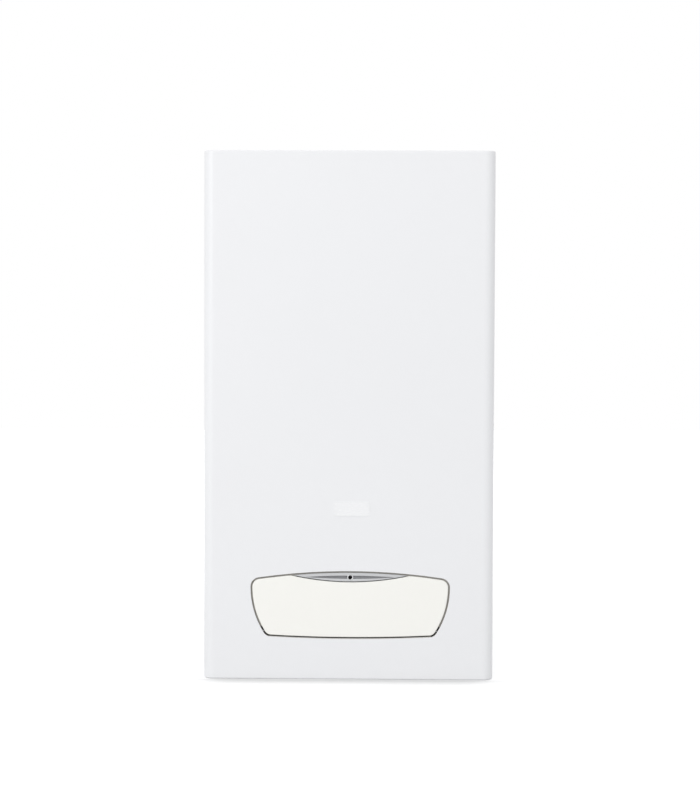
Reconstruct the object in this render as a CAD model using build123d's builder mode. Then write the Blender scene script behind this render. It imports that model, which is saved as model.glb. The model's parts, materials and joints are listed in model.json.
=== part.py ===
from build123d import *
from math import sqrt
import os

os.makedirs("parts", exist_ok=True)

# Wall-hung combi boiler, in millimetres. +Z is up, the front faces -Y and the wall is the plane Y = 0.
# The origin lies on the wall, on the centre line, level with the fixing holes of the wall bracket.
# x runs across, d is the distance out from the wall and h the height above the case's bottom edge.

# ---- case ----
case_width = 407.0
case_height = 740.0
case_depth = 311.0
case_sheet = 1.0
edge_radius = 14.0
rim_radius = 2.0
return_flange = 15.0
wall_gap = 12.0          # the chassis stands this far off the wall
slip = 0.5               # the case slides over the frame with this gap at each side

# ---- wall bracket and frame ----
bracket_drop = 60.0      # from the case's top edge down to the bracket's fixing holes
bracket_width = 300.0
bracket_sheet = 2.5
bracket_hole_spacing = 260.0
bracket_hole_radius = 4.0
bracket_step = 9.0       # the hook's lip stands this far off the wall
frame_sheet = 1.2
tray_height = 45.0
top_recess = 25.0        # the top panel lies this far below the case's top edge

# ---- control flap: centre line of the gap round it ----
flap_x = 2.8             # the flap's middle sits this far right of the case's centre line
flap_half_width = 138.6  # at its widest
flap_wide_height = 130.0
flap_side_radius = 120.0
flap_crown = 151.4       # top of the arched top line, at the middle
flap_crown_radius = 881.0
flap_sill = 58.2         # bottom line at the middle
flap_sill_radius = 2200.0
flap_top_corner = 12.0
flap_foot_corner = 11.0
flap_gap = 2.5
flap_thickness = 3.0
flap_round = 1.4
flap_rim_inset = 6.0
flap_rim_depth = 4.0
flap_rim_wall = 2.0

# ---- finger scoop, grip trim and lamp ----
scoop_radius = 378.0
scoop_low = 136.8        # lowest point of the scoop's arc
trim_gap = 1.3
trim_recess = 1.0
trim_thickness = 6.0
trim_groove_height = 144.0
trim_groove_half_length = 64.0
trim_groove_depth = 2.2
lamp_height = 143.8
lamp_radius = 3.6

# ---- flap hinge and catch ----
hinge_setback = 2.6      # pin axis behind the case's front face, inside the flap's thickness
hinge_height = 68.0
hinge_pin_radius = 0.9
hinge_clearance = 0.05
hinge_knuckle_radius = 2.2
hinge_x = 111.5          # middle of the flap's knuckle
knuckle_width = 7.0
hinge_boss_length = 8.0
hinge_boss_half = 3.2
hinge_boss_depth = 6.0
bezel_wall = 2.0
bezel_flange = 14.0
bezel_depth = 19.0
catch_height = 125.0
catch_gap = 0.3

# ---- controls ----
fascia_setback = 21.0    # fascia face behind the case's front face
fascia_thickness = 2.5
fascia_half_width = 146.0
fascia_low = 56.0
fascia_high = 154.0
box_pump_gap = 17.5      # between the pump's motor and the control box
box_wall = 2.5
board_setback = 26.4     # circuit board face behind the fascia's face
board_thickness = 1.6
control_height = 106.0
knob_x = 52.0
knob_radius = 17.0
knob_height = 12.0
knob_stem_radius = 3.0
stem_clearance = 0.05
button_x = 98.0
button_pitch = 19.0
button_radius = 5.0
button_gap = 0.3
button_travel = 1.5
gauge_x = -98.0
gauge_radius = 19.0
display_width = 46.0
display_height = 30.0

# ---- sealed chamber ----
chamber_side_gap = 15.5  # between the chamber and the frame's sides
chamber_front_gap = 27.0 # between the chamber's flange and the case's front
chamber_low = 300.0
chamber_back = 88.0
chamber_sheet = 1.0
seal_thickness = 3.0

# ---- burner, exchanger and flue ----
stack_side_gap = 63.0    # from the chamber's sides to the firebox and exchanger
stack_front_gap = 20.0
stack_back = 108.0
burner_rise = 30.0       # burner above the chamber's floor
burner_height = 35.0
burner_gap = 7.0         # from the burner's top to the firebox
burner_end_gap = 8.0
burner_count = 11
burner_bar_width = 12.0
insulation = 12.0
exchanger_height = 65.0
tube_radius = 9.0
tube_end_gap = 18.0      # first and last pass in from the exchanger's walls
tube_passes = 5
fin_pitch = 8.0
fin_thickness = 0.8
hood_height = 50.0
hood_half_width = 80.0
riser_depth = 40.0
fan_x = 22.0
fan_drop = 75.0          # from the top panel down to the fan's axis
fan_hood_gap = 5.0
fan_radius = 50.0
fan_depth = 52.0
fan_wall = 1.5
impeller_radius = 40.0
impeller_blades = 16
motor_radius = 30.0
motor_front_gap = 26.0
flue_radius = 30.0
flue_wall = 1.0
collar_radius = 50.0
collar_wall = 1.5

# ---- water and gas side ----
tail_distance = 95.0     # pipe tails out from the wall
tail_spacing = 65.0
tail_low = 8.0
tail_thread = 14.0
heating_thread_radius = 13.2
water_thread_radius = 10.5
heating_pipe_radius = 9.0
water_pipe_radius = 7.5
pipe_wall = 1.0
tray_fit = 0.3
vessel_radius = 165.0
vessel_top_gap = 33.8    # between the vessel's seam and the top panel
vessel_back = 20.0
vessel_front = 84.0
plate_low = 100.0
plate_high = 145.0
pump_height = 155.0
pump_radius = 42.0
pump_back = 70.0
pump_depth = 50.0
pump_motor_radius = 38.0
pump_motor_depth = 68.0
pump_shaft_radius = 5.0
diverter_half = 25.0
diverter_low = 95.0
diverter_high = 160.0
diverter_travel = 6.0
spindle_radius = 3.0
turbine_radius = 8.0
gas_valve_low = 165.0
gas_valve_high = 245.0
handle_radius = 11.0
safety_knob_radius = 12.0
gland_radius = 8.0
gland_bore_radius = 4.5

# ---- places worked out from the sizes above ----
base = bracket_drop - case_height            # the case's bottom edge in the row's frame
over = 1.0                                   # cuts start and end this far outside what they cut
frame_half = case_width / 2 - case_sheet - slip
back_face = wall_gap + frame_sheet           # front face of the chassis back
panel_top = case_height - top_recess         # top panel's upper face
panel_low = panel_top - frame_sheet
tray_top = tray_height + frame_sheet
tray_front = case_depth - return_flange - 1.0
chamber_half_width = frame_half - chamber_side_gap
chamber_front = case_depth - chamber_front_gap
stack_half_width = chamber_half_width - stack_side_gap
stack_front = chamber_front - stack_front_gap
burner_low = chamber_low + burner_rise
burner_high = burner_low + burner_height
firebox_low = burner_high + burner_gap
fan_height = panel_top - fan_drop
hood_high = fan_height - fan_radius - fan_hood_gap
exchanger_high = hood_high - hood_height
firebox_high = exchanger_high - exchanger_height     # the firebox fills the height that is left
tube_pitch = (stack_front - stack_back - 2 * tube_end_gap) / (tube_passes - 1)
motor_depth = chamber_front - motor_front_gap - (stack_back + riser_depth + fan_depth)
fascia_front = case_depth - fascia_setback
fascia_back = fascia_front - fascia_thickness
board_front = fascia_front - board_setback
board_back = board_front - board_thickness
hinge_d = case_depth - hinge_setback
flap_back = case_depth - flap_thickness
trim_front = case_depth - trim_recess
trim_back = trim_front - trim_thickness
flue_d = stack_back + riser_depth + fan_depth / 2
flow_x = -2 * tail_spacing
return_x = 2 * tail_spacing


# The bezel, trim, lamp, catch, hinge pins and flap are built about x = 0 and saved moved by this.
flap_shift = Location((flap_x, 0, 0))


def front_plane(d):
    return Plane(origin=(0, -d, base), x_dir=(1, 0, 0), z_dir=(0, -1, 0))


def level_plane(h):
    return Plane(origin=(0, 0, base + h), x_dir=(1, 0, 0), z_dir=(0, 0, 1))


def side_plane(x):
    return Plane(origin=(x, 0, base), x_dir=(0, -1, 0), z_dir=(-1, 0, 0))


def block(x0, x1, d0, d1, h0, h1, mode=Mode.ADD):
    with Locations(((x0 + x1) / 2, -(d0 + d1) / 2, base + (h0 + h1) / 2)):
        Box(abs(x1 - x0), abs(d1 - d0), abs(h1 - h0), mode=mode)


def rod_out(x, h, radius, d0, d1, mode=Mode.ADD):
    with Locations((x, -(d0 + d1) / 2, base + h)):
        Cylinder(radius, abs(d1 - d0), rotation=(90, 0, 0), mode=mode)


def rod_up(x, d, radius, h0, h1, mode=Mode.ADD):
    with Locations((x, -d, base + (h0 + h1) / 2)):
        Cylinder(radius, abs(h1 - h0), mode=mode)


def rod_across(d, h, radius, x0, x1, mode=Mode.ADD):
    with Locations(((x0 + x1) / 2, -d, base + h)):
        Cylinder(radius, abs(x1 - x0), rotation=(0, 90, 0), mode=mode)


def tube_along(points, bend, radius, wall):
    places = [(x, -d, base + h) for x, d, h in points]
    with BuildLine() as path:
        FilletPolyline(*places, radius=bend)
    with BuildSketch(Plane(origin=path.line @ 0, z_dir=path.line % 0)) as section:
        Circle(radius)
        Circle(radius - wall, mode=Mode.SUBTRACT)
    sweep(sections=section.sketch, path=path.line)


# ---- outlines of the opening, the flap and the grip trim, in the front plane ----
def right_crossing(centre, radius, other_centre, other_radius):
    between = other_centre - centre
    along = (radius ** 2 - other_radius ** 2 + between.length ** 2) / (2 * between.length)
    rise = sqrt(radius ** 2 - along ** 2)
    across = Vector(-between.Y, between.X).normalized()
    foot = centre + between.normalized() * along
    return max(foot + across * rise, foot - across * rise, key=lambda point: point.X)


def gap_outline(grow):
    crown_centre = Vector(0, flap_crown - flap_crown_radius)
    sill_centre = Vector(0, flap_sill + flap_sill_radius)
    side_centre = Vector(flap_half_width - flap_side_radius, flap_wide_height)
    side_radius = flap_side_radius + grow
    shoulder = right_crossing(crown_centre, flap_crown_radius + grow, side_centre, side_radius)
    foot = right_crossing(sill_centre, flap_sill_radius + grow, side_centre, side_radius)
    waist = side_centre + (shoulder + foot - side_centre * 2).normalized() * side_radius
    with BuildSketch() as outline:
        with BuildLine():
            ThreePointArc((-shoulder.X, shoulder.Y), (0, flap_crown + grow), (shoulder.X, shoulder.Y))
            ThreePointArc((shoulder.X, shoulder.Y), (waist.X, waist.Y), (foot.X, foot.Y))
            ThreePointArc((foot.X, foot.Y), (0, flap_sill - grow), (-foot.X, foot.Y))
            ThreePointArc((-foot.X, foot.Y), (-waist.X, waist.Y), (-shoulder.X, shoulder.Y))
        make_face()
        fillet(outline.vertices().group_by(Axis.Y)[-1], max(flap_top_corner + grow, 1.0))
        fillet(outline.vertices().group_by(Axis.Y)[0], max(flap_foot_corner + grow, 1.0))
    return outline.sketch


def leaf_outline(inset):
    with BuildSketch() as outline:
        add(gap_outline(-flap_gap / 2 - inset))
        with Locations((0, scoop_low + scoop_radius)):
            Circle(scoop_radius + inset, mode=Mode.SUBTRACT)
    return outline.sketch


def scoop_outline(grow):
    with BuildSketch() as outline:
        add(gap_outline(grow))
        with Locations((0, scoop_low + scoop_radius)):
            Circle(scoop_radius - trim_gap, mode=Mode.INTERSECT)
    return outline.sketch


# ================================ case and frame ================================

# Wall bracket: a flange against the wall, a step out and an upward lip that carries the boiler.
bracket_below = 22.0     # flange below the fixing holes
bracket_above = 16.0     # flange above them, up to the step
bracket_lip = 16.0
bracket_low = case_height - bracket_drop - bracket_below
bracket_web = case_height - bracket_drop + bracket_above
lip_top = bracket_web + bracket_lip
with BuildPart() as wall_bracket:
    half = bracket_width / 2
    block(-half, half, 0, bracket_sheet, bracket_low, bracket_web)
    block(-half, half, 0, bracket_step, bracket_web - bracket_sheet, bracket_web)
    block(-half, half, bracket_step - bracket_sheet, bracket_step, bracket_web - bracket_sheet, lip_top)
    with Locations(Plane.XZ):
        with GridLocations(bracket_hole_spacing, 1, 2, 1):
            Hole(bracket_hole_radius, depth=3 * bracket_sheet)
wall_bracket.part.label = "wall_bracket"
export_step(wall_bracket.part, "parts/wall_bracket.step")

# Chassis back: a sheet with forward side flanges and a folded hook that hangs on the bracket's lip.
chassis_skirt = 25.0     # the back reaches this far below the tray
chassis_flange = 20.0
hook_margin = 10.0       # the hook is this much shorter than the bracket at each end
hook_clearance = 2.1     # between the hook's downturned leg and the bracket's lip
access_radius = 3 * bracket_hole_radius
spacer_inner_x = 120.0   # two foot spacers that rest on the wall
spacer_width = 40.0
spacer_height = 20.0
chassis_low = tray_height - chassis_skirt
chassis_top = case_height - case_sheet - slip
hook_half = bracket_width / 2 - hook_margin
hook_out = bracket_step - bracket_sheet - hook_clearance
with BuildPart() as chassis_back:
    block(-frame_half, frame_half, wall_gap, back_face, chassis_low, chassis_top)
    for side in (-1, 1):
        block(side * frame_half, side * (frame_half - frame_sheet), back_face,
              back_face + chassis_flange, tray_top, panel_low)
    block(-hook_half, hook_half, hook_out - frame_sheet, wall_gap, lip_top, lip_top + frame_sheet)
    block(-hook_half, hook_half, hook_out - frame_sheet, hook_out, bracket_web, lip_top)
    for side in (-1, 1):
        rod_out(side * bracket_hole_spacing / 2, case_height - bracket_drop, access_radius,
                wall_gap - over, back_face + over, mode=Mode.SUBTRACT)
        block(side * spacer_inner_x, side * (spacer_inner_x + spacer_width), 0, wall_gap, tray_height,
              tray_height + spacer_height)
chassis_back.part.label = "chassis_back"
export_step(chassis_back.part, "parts/chassis_back.step")

# Top panel: a shallow tray, its rim reaching up to the case's return flange.
with BuildPart() as top_panel:
    rim_top = case_height - case_sheet
    panel_front = case_depth - case_sheet - slip
    with BuildSketch(level_plane(panel_low)) as panel_plan:
        with Locations((0, -(back_face + panel_front) / 2)):
            Rectangle(2 * frame_half, panel_front - back_face)
        fillet(panel_plan.vertices().group_by(Axis.Y)[0], edge_radius - case_sheet - slip)
    extrude(amount=rim_top - panel_low)
    with BuildSketch(level_plane(panel_top)):
        add(panel_plan.sketch_local)
        offset(amount=-frame_sheet)
    extrude(amount=rim_top - panel_top, mode=Mode.SUBTRACT)
    rod_up(0, flue_d, collar_radius - collar_wall, panel_low - over, panel_top + over,
           mode=Mode.SUBTRACT)
top_panel.part.label = "top_panel"
export_step(top_panel.part, "parts/top_panel.step")

# Bottom tray: carries the pipe tails; two tabs reach down to the case's bottom flange.
tail_places = [(-2 * tail_spacing, heating_thread_radius), (-tail_spacing, water_thread_radius),
               (0, heating_thread_radius), (tail_spacing, water_thread_radius),
               (2 * tail_spacing, heating_thread_radius)]
tab_inset = 53.5         # tabs and screws in from the frame's sides
tab_half = 10.0
tab_x = frame_half - tab_inset
tray_hem = 12.0
screw_radius = 2.0
screw_head_radius = 4.0
screw_shank = 7.0
screw_slot = 5.0
screw_slot_width = 1.0
screw_slot_depth = 0.8
screw_d = case_depth - case_sheet - return_flange / 2
sink_depth = case_sheet + frame_sheet    # the countersink runs through the flange and the tab
handle_x = 1.5 * tail_spacing
handle_shaft_radius = 4.0
gland_inset = 28.0
gland_x = -(frame_half - gland_inset)
gland_d = 200.0
with BuildPart() as bottom_tray:
    block(-frame_half, frame_half, back_face, tray_front, tray_height, tray_top)
    for side in (-1, 1):
        block(side * frame_half, side * (frame_half - frame_sheet), back_face + chassis_flange + over,
              tray_front, tray_top, tray_top + tray_hem)
        block(side * tab_x - tab_half, side * tab_x + tab_half, tray_front - frame_sheet, tray_front,
              case_sheet, tray_height)
        block(side * tab_x - tab_half, side * tab_x + tab_half, tray_front, case_depth - 3 * case_sheet,
              case_sheet, case_sheet + frame_sheet)
        with Locations((side * tab_x, -screw_d, base + sink_depth / 2)):
            Cone(screw_head_radius, screw_radius, sink_depth, mode=Mode.SUBTRACT)
    for x, radius in tail_places:
        rod_up(x, tail_distance, radius + tray_fit, tray_height - over, tray_top + over,
               mode=Mode.SUBTRACT)
    rod_up(handle_x, tail_distance, handle_shaft_radius + tray_fit, tray_height - over,
           tray_top + over, mode=Mode.SUBTRACT)
    rod_up(gland_x, gland_d, gland_radius, tray_height - over, tray_top + over, mode=Mode.SUBTRACT)
bottom_tray.part.label = "bottom_tray"
export_step(bottom_tray.part, "parts/bottom_tray.step")

# Front casing: front and sides in one wrap, return flanges at top and bottom, open at the back.
with BuildPart() as front_casing:
    with BuildSketch(level_plane(0)) as wrap_plan:
        with Locations((0, -(wall_gap + case_depth) / 2)):
            Rectangle(case_width, case_depth - wall_gap)
        fillet(wrap_plan.vertices().group_by(Axis.Y)[0], radius=edge_radius)
    extrude(amount=case_height)
    rims = front_casing.edges().group_by(Axis.Z)[0] + front_casing.edges().group_by(Axis.Z)[-1]
    fillet(rims.filter_by(lambda rim: rim.center().Y < -wall_gap - over), radius=rim_radius)
    inside_depth = case_depth - case_sheet - wall_gap
    with BuildSketch(level_plane(case_sheet)) as inner_plan:
        with Locations((0, -(wall_gap + inside_depth / 2))):
            Rectangle(case_width - 2 * case_sheet, inside_depth)
        fillet(inner_plan.vertices().group_by(Axis.Y)[0], radius=edge_radius - case_sheet)
    extrude(amount=case_height - 2 * case_sheet, mode=Mode.SUBTRACT)
    window_depth = case_depth - return_flange - wall_gap
    block(-(case_width / 2 - return_flange), case_width / 2 - return_flange, wall_gap,
          wall_gap + window_depth, 0, case_height, mode=Mode.SUBTRACT)
    with BuildSketch(front_plane(case_depth - 3 * case_sheet)):
        add(gap_outline(flap_gap / 2).moved(flap_shift))
    extrude(amount=4 * case_sheet, mode=Mode.SUBTRACT)
    for side in (-1, 1):
        with Locations((side * tab_x, -screw_d, base + sink_depth / 2)):
            Cone(screw_head_radius, screw_radius, sink_depth, mode=Mode.SUBTRACT)
front_casing.part.label = "front_casing"
export_step(front_casing.part, "parts/front_casing.step")

# The tray's tabs take the rest of the same countersink, and the screws fill it.
with BuildPart() as casing_screws:
    for side in (-1, 1):
        with Locations((side * tab_x, -screw_d, base + sink_depth / 2)):
            Cone(screw_head_radius, screw_radius, sink_depth)
        rod_up(side * tab_x, screw_d, screw_radius, sink_depth, sink_depth + screw_shank)
        for across, along in ((screw_slot_width, screw_slot), (screw_slot, screw_slot_width)):
            block(side * tab_x - across / 2, side * tab_x + across / 2, screw_d - along / 2,
                  screw_d + along / 2, 0, screw_slot_depth, mode=Mode.SUBTRACT)
casing_screws.part.label = "casing_screws"
export_step(casing_screws.part, "parts/casing_screws.step")

# Badge plate: a thin blank plate on the case front.
badge_width = 50.0
badge_height = 20.0
badge_thickness = 0.6
badge_x = 5.0
badge_level = 240.0
badge_corner = 2.5
with BuildPart() as badge_plate:
    with BuildSketch(front_plane(case_depth)):
        with Locations((badge_x, badge_level)):
            RectangleRounded(badge_width, badge_height, badge_corner)
    extrude(amount=badge_thickness)
badge_plate.part.label = "badge_plate"
export_step(badge_plate.part, "parts/badge_plate.step")

# ================================ opening, trim and catch ================================

# Bezel behind the case front: a flange, a tunnel inwards, the trim's shelf, the catch's arm and
# the two side bosses that hold the flap's hinge pins.
bezel_front = case_depth - case_sheet
bezel_back = bezel_front - bezel_depth
shelf_front = trim_back
shelf_thickness = 4.0
shelf_back = shelf_front - shelf_thickness
side_drop = flap_wide_height - hinge_height
opening_x = flap_half_width - flap_side_radius + sqrt((flap_side_radius + flap_gap / 2) ** 2
                                                      - side_drop ** 2)
boss_end_x = opening_x + hinge_boss_length
pin_end_gap = 0.5
catch_half = 9.0
catch_high_half = 5.0
catch_margin = 2.0       # the catch's arm is this much wider than the magnet
catch_thickness = 4.5
striker_thickness = 1.0
catch_arm_low = catch_height - catch_high_half - over
magnet_front = flap_back - striker_thickness - catch_gap
with BuildPart() as aperture_bezel:
    with BuildSketch(front_plane(bezel_front - bezel_wall)):
        add(gap_outline(flap_gap / 2 + bezel_flange))
    extrude(amount=bezel_wall)
    with BuildSketch(front_plane(bezel_back)):
        add(gap_outline(flap_gap / 2 + bezel_wall))
    extrude(amount=bezel_depth)
    for side in (-1, 1):
        block(side * opening_x, side * boss_end_x, bezel_front - hinge_boss_depth, bezel_front,
              hinge_height - hinge_boss_half, hinge_height + hinge_boss_half)
    with BuildSketch(front_plane(bezel_back)):
        add(gap_outline(flap_gap / 2))
    extrude(amount=bezel_depth, mode=Mode.SUBTRACT)
    with BuildSketch(front_plane(shelf_back)):
        add(scoop_outline(flap_gap / 2))
    extrude(amount=shelf_front - shelf_back)
    block(-catch_half - catch_margin, catch_half + catch_margin, shelf_back,
          magnet_front - catch_thickness, catch_arm_low, scoop_low + shelf_thickness)
    for side in (-1, 1):
        rod_across(hinge_d, hinge_height, hinge_pin_radius + hinge_clearance,
                   side * (opening_x - over), side * (boss_end_x + over), mode=Mode.SUBTRACT)
aperture_bezel_in_place = aperture_bezel.part.moved(flap_shift)
aperture_bezel_in_place.label = "aperture_bezel"
export_step(aperture_bezel_in_place, "parts/aperture_bezel.step")

# Grip trim in the scoop: a lens-shaped bar with a shallow groove and the lamp's seat.
with BuildPart() as grip_trim:
    with BuildSketch(front_plane(trim_back)):
        add(scoop_outline(-flap_gap / 2))
    extrude(amount=trim_thickness)
    with BuildSketch(front_plane(trim_front)):
        with BuildLine():
            ThreePointArc((-trim_groove_half_length, trim_groove_height),
                          (0, trim_groove_height + trim_groove_depth),
                          (trim_groove_half_length, trim_groove_height))
            Line((trim_groove_half_length, trim_groove_height),
                 (-trim_groove_half_length, trim_groove_height))
        make_face()
    revolve(axis=Axis((0, -trim_front, base + trim_groove_height), (1, 0, 0)), mode=Mode.SUBTRACT)
    rod_out(0, lamp_height, lamp_radius, trim_back, trim_front, mode=Mode.SUBTRACT)
grip_trim_in_place = grip_trim.part.moved(flap_shift)
grip_trim_in_place.label = "grip_trim"
export_step(grip_trim_in_place, "parts/grip_trim.step")

# Status lamp: a stepped lens seated in the trim on the bezel's shelf.
lamp_stand = 0.5
lamp_seat_depth = 0.4
lamp_dome_radius = 2.5
with BuildPart() as status_lamp_lens:
    rod_out(0, lamp_height, lamp_radius, trim_back, trim_front - lamp_seat_depth)
    rod_out(0, lamp_height, lamp_dome_radius, trim_front - lamp_seat_depth, trim_front + lamp_stand)
    fillet(status_lamp_lens.edges().group_by(Axis.Y)[0], radius=lamp_stand)
status_lamp_lens_in_place = status_lamp_lens.part.moved(flap_shift)
status_lamp_lens_in_place.label = "status_lamp_lens"
export_step(status_lamp_lens_in_place, "parts/status_lamp_lens.step")

with BuildPart() as catch_magnet:
    block(-catch_half, catch_half, magnet_front - catch_thickness, magnet_front,
          catch_height - catch_high_half, catch_height + catch_high_half)
catch_magnet_in_place = catch_magnet.part.moved(flap_shift)
catch_magnet_in_place.label = "catch_magnet"
export_step(catch_magnet_in_place, "parts/catch_magnet.step")

# ================================ flap ================================

knuckle_inner_x = hinge_x - knuckle_width / 2
knuckle_outer_x = hinge_x + knuckle_width / 2
with BuildPart() as flap:
    with BuildSketch(front_plane(flap_back)):
        add(leaf_outline(0))
    extrude(amount=flap_thickness)
    front_loop = flap.faces().sort_by(Axis.Y)[0].edges()
    fillet(front_loop, radius=flap_round)
    with BuildSketch(front_plane(flap_back - flap_rim_depth)):
        add(leaf_outline(flap_rim_inset))
    extrude(amount=flap_rim_depth)
    with BuildSketch(front_plane(flap_back - flap_rim_depth)):
        add(leaf_outline(flap_rim_inset + flap_rim_wall))
    extrude(amount=flap_rim_depth, mode=Mode.SUBTRACT)
    block(-catch_half - 2 * catch_margin, catch_half + 2 * catch_margin, flap_back - flap_rim_depth,
          flap_back, catch_arm_low, scoop_low, mode=Mode.SUBTRACT)
    for side in (-1, 1):
        rod_across(hinge_d, hinge_height, hinge_knuckle_radius, side * knuckle_inner_x,
                   side * knuckle_outer_x)
        rod_across(hinge_d, hinge_height, hinge_pin_radius, side * (knuckle_inner_x - over),
                   side * opening_x, mode=Mode.SUBTRACT)
flap_in_place = flap.part.moved(flap_shift)
flap_in_place.label = "flap"
export_step(flap_in_place, "parts/flap.step")

with BuildPart() as flap_hinge_pins:
    for side in (-1, 1):
        rod_across(hinge_d, hinge_height, hinge_pin_radius, side * knuckle_inner_x,
                   side * (boss_end_x - pin_end_gap))
flap_hinge_pins_in_place = flap_hinge_pins.part.moved(flap_shift)
flap_hinge_pins_in_place.label = "flap_hinge_pins"
export_step(flap_hinge_pins_in_place, "parts/flap_hinge_pins.step")

with BuildPart() as flap_striker:
    block(-catch_half, catch_half, flap_back - striker_thickness, flap_back,
          catch_height - catch_high_half, catch_height + catch_high_half)
flap_striker_in_place = flap_striker.part.moved(flap_shift)
flap_striker_in_place.label = "flap_striker"
export_step(flap_striker_in_place, "parts/flap_striker.step")

# ================================ controls behind the flap ================================

box_back = pump_back + pump_depth + pump_motor_depth + box_pump_gap
box_depth = fascia_back - box_back
button_heights = [control_height + button_pitch, control_height, control_height - button_pitch]
knob_places = [-knob_x, knob_x]
fascia_corner = 6.0
fascia_mid = (fascia_low + fascia_high) / 2
fascia_span = fascia_high - fascia_low
post_inset = 14.0
post_x = fascia_half_width - post_inset
post_radius = 4.0
post_heights = [fascia_low + post_inset, fascia_high - post_inset]
box_foot = 20.0
box_foot_x = 100.0
with BuildPart() as control_box:
    with BuildSketch(front_plane(box_back)):
        with Locations((0, fascia_mid)):
            RectangleRounded(2 * fascia_half_width, fascia_span, fascia_corner)
    extrude(amount=box_depth)
    with BuildSketch(front_plane(box_back + box_wall)):
        with Locations((0, fascia_mid)):
            RectangleRounded(2 * (fascia_half_width - box_wall), fascia_span - 2 * box_wall,
                             fascia_corner - box_wall)
    extrude(amount=box_depth, mode=Mode.SUBTRACT)
    for side in (-1, 1):
        for h in post_heights:
            rod_out(side * post_x, h, post_radius, box_back + box_wall, board_back)
        block(side * box_foot_x - box_foot / 2, side * box_foot_x + box_foot / 2,
              fascia_back - box_foot, fascia_back, tray_top, fascia_low + box_wall)
control_box.part.label = "control_box"
export_step(control_box.part, "parts/control_box.step")

gauge_flange = 2.0
window_corner = 2.0
stem_hole_radius = knob_stem_radius + 0.4
ring_gap = 2.0           # printed-dial ring round each knob
ring_width = 2.0
ring_height = 0.5
with BuildPart() as control_fascia:
    with BuildSketch(front_plane(fascia_back)):
        with Locations((0, fascia_mid)):
            RectangleRounded(2 * fascia_half_width, fascia_span, fascia_corner)
        with Locations((0, control_height)):
            RectangleRounded(display_width, display_height, window_corner, mode=Mode.SUBTRACT)
        with Locations(*[(x, control_height) for x in knob_places]):
            Circle(stem_hole_radius, mode=Mode.SUBTRACT)
        with Locations(*[(button_x, h) for h in button_heights]):
            Circle(button_radius + button_gap, mode=Mode.SUBTRACT)
        with Locations((gauge_x, control_height)):
            Circle(gauge_radius, mode=Mode.SUBTRACT)
    extrude(amount=fascia_thickness)
    for x in knob_places:
        rod_out(x, control_height, knob_radius + ring_gap + ring_width, fascia_front,
                fascia_front + ring_height)
        rod_out(x, control_height, knob_radius + ring_gap, fascia_front, fascia_front + ring_height,
                mode=Mode.SUBTRACT)
control_fascia.part.label = "control_fascia"
export_step(control_fascia.part, "parts/control_fascia.step")

# Display window: a clear plate held by its step behind the fascia.
window_step = 1.0        # the step behind the fascia's edge
window_lap = 2.0
window_fit = 0.1
module_front = fascia_back - window_step
with BuildPart() as display_window:
    with BuildSketch(front_plane(fascia_back)):
        with Locations((0, control_height)):
            RectangleRounded(display_width - 2 * window_fit, display_height - 2 * window_fit,
                             window_corner - window_fit)
    extrude(amount=fascia_thickness)
    with BuildSketch(front_plane(module_front)):
        with Locations((0, control_height)):
            RectangleRounded(display_width + 2 * window_lap, display_height + 2 * window_lap,
                             window_corner + window_lap / 2)
    extrude(amount=window_step)
display_window.part.label = "display_window"
export_step(display_window.part, "parts/display_window.step")

board_side_gap = 3.0
board_end_gap = 4.0
board_half = fascia_half_width - box_wall - board_side_gap
with BuildPart() as control_board:
    block(-board_half, board_half, board_back, board_front, fascia_low + box_wall + board_end_gap,
          fascia_high - box_wall - board_end_gap)
control_board.part.label = "control_board"
export_step(control_board.part, "parts/control_board.step")

# Board components: display module, potentiometers, key switches, relays, transformer and capacitors.
module_margin = 3.0
pot_half = 7.0
pot_recess = 6.0
pot_front = fascia_back - pot_recess
stem_back = board_front + pot_recess
stem_end_gap = 0.5
key_flange = 2.0
key_gap = 11.5
key_half = 4.0
switch_front = fascia_back - key_flange - key_gap
relay_width = 14.0
relay_height = 18.0
relay_depth = 15.0
relay_pitch = 22.0
relay_mid = 9.0          # middle relay, across
relay_top = 8.0          # from the fascia's top edge down to the relays
transformer_x = -60.0
transformer_width = 32.0
transformer_depth = 19.0
rear_rise = 10.0
rear_low = fascia_low + rear_rise
capacitor_x = 20.0
capacitor_radius = 8.0
capacitor_pitch = 24.0
capacitor_depth = 17.0
connector_x = 62.0
connector_width = 50.0
connector_height = 12.0
with BuildPart() as board_components:
    block(-display_width / 2 - module_margin, display_width / 2 + module_margin, board_front,
          module_front, control_height - display_height / 2 - module_margin,
          control_height + display_height / 2 + module_margin)
    for x in knob_places:
        block(x - pot_half, x + pot_half, board_front, pot_front, control_height - pot_half,
              control_height + pot_half)
        rod_out(x, control_height, knob_stem_radius + stem_clearance, stem_back - stem_end_gap,
                pot_front, mode=Mode.SUBTRACT)
    for h in button_heights:
        block(button_x - key_half, button_x + key_half, board_front, switch_front, h - key_half,
              h + key_half)
    for column in range(3):
        x = relay_mid + (column - 1) * relay_pitch
        block(x - relay_width / 2, x + relay_width / 2, board_front, board_front + relay_depth,
              fascia_high - relay_top - relay_height, fascia_high - relay_top)
    block(transformer_x, transformer_x + transformer_width, board_back - transformer_depth, board_back,
          rear_low, rear_low + transformer_width)
    for column in range(2):
        rod_out(capacitor_x + capacitor_pitch * column, rear_low + 2 * capacitor_radius,
                capacitor_radius, board_back - capacitor_depth, board_back)
    block(connector_x, connector_x + connector_width, board_back - connector_height, board_back,
          rear_low, rear_low + connector_height)
board_components.part.label = "board_components"
export_step(board_components.part, "parts/board_components.step")


knob_lift = 1.0          # the skirt stands this far off the fascia
knob_skirt = 2.0
knob_grip_radius = 14.0
knob_round = 1.0
pointer_groove = 2.0
pointer_start = 3.0
groove_depth = 1.0
flute_count = 20
flute_radius = 0.8
grip_back = fascia_front + knob_lift + knob_skirt
knob_front = fascia_front + knob_height


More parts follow.
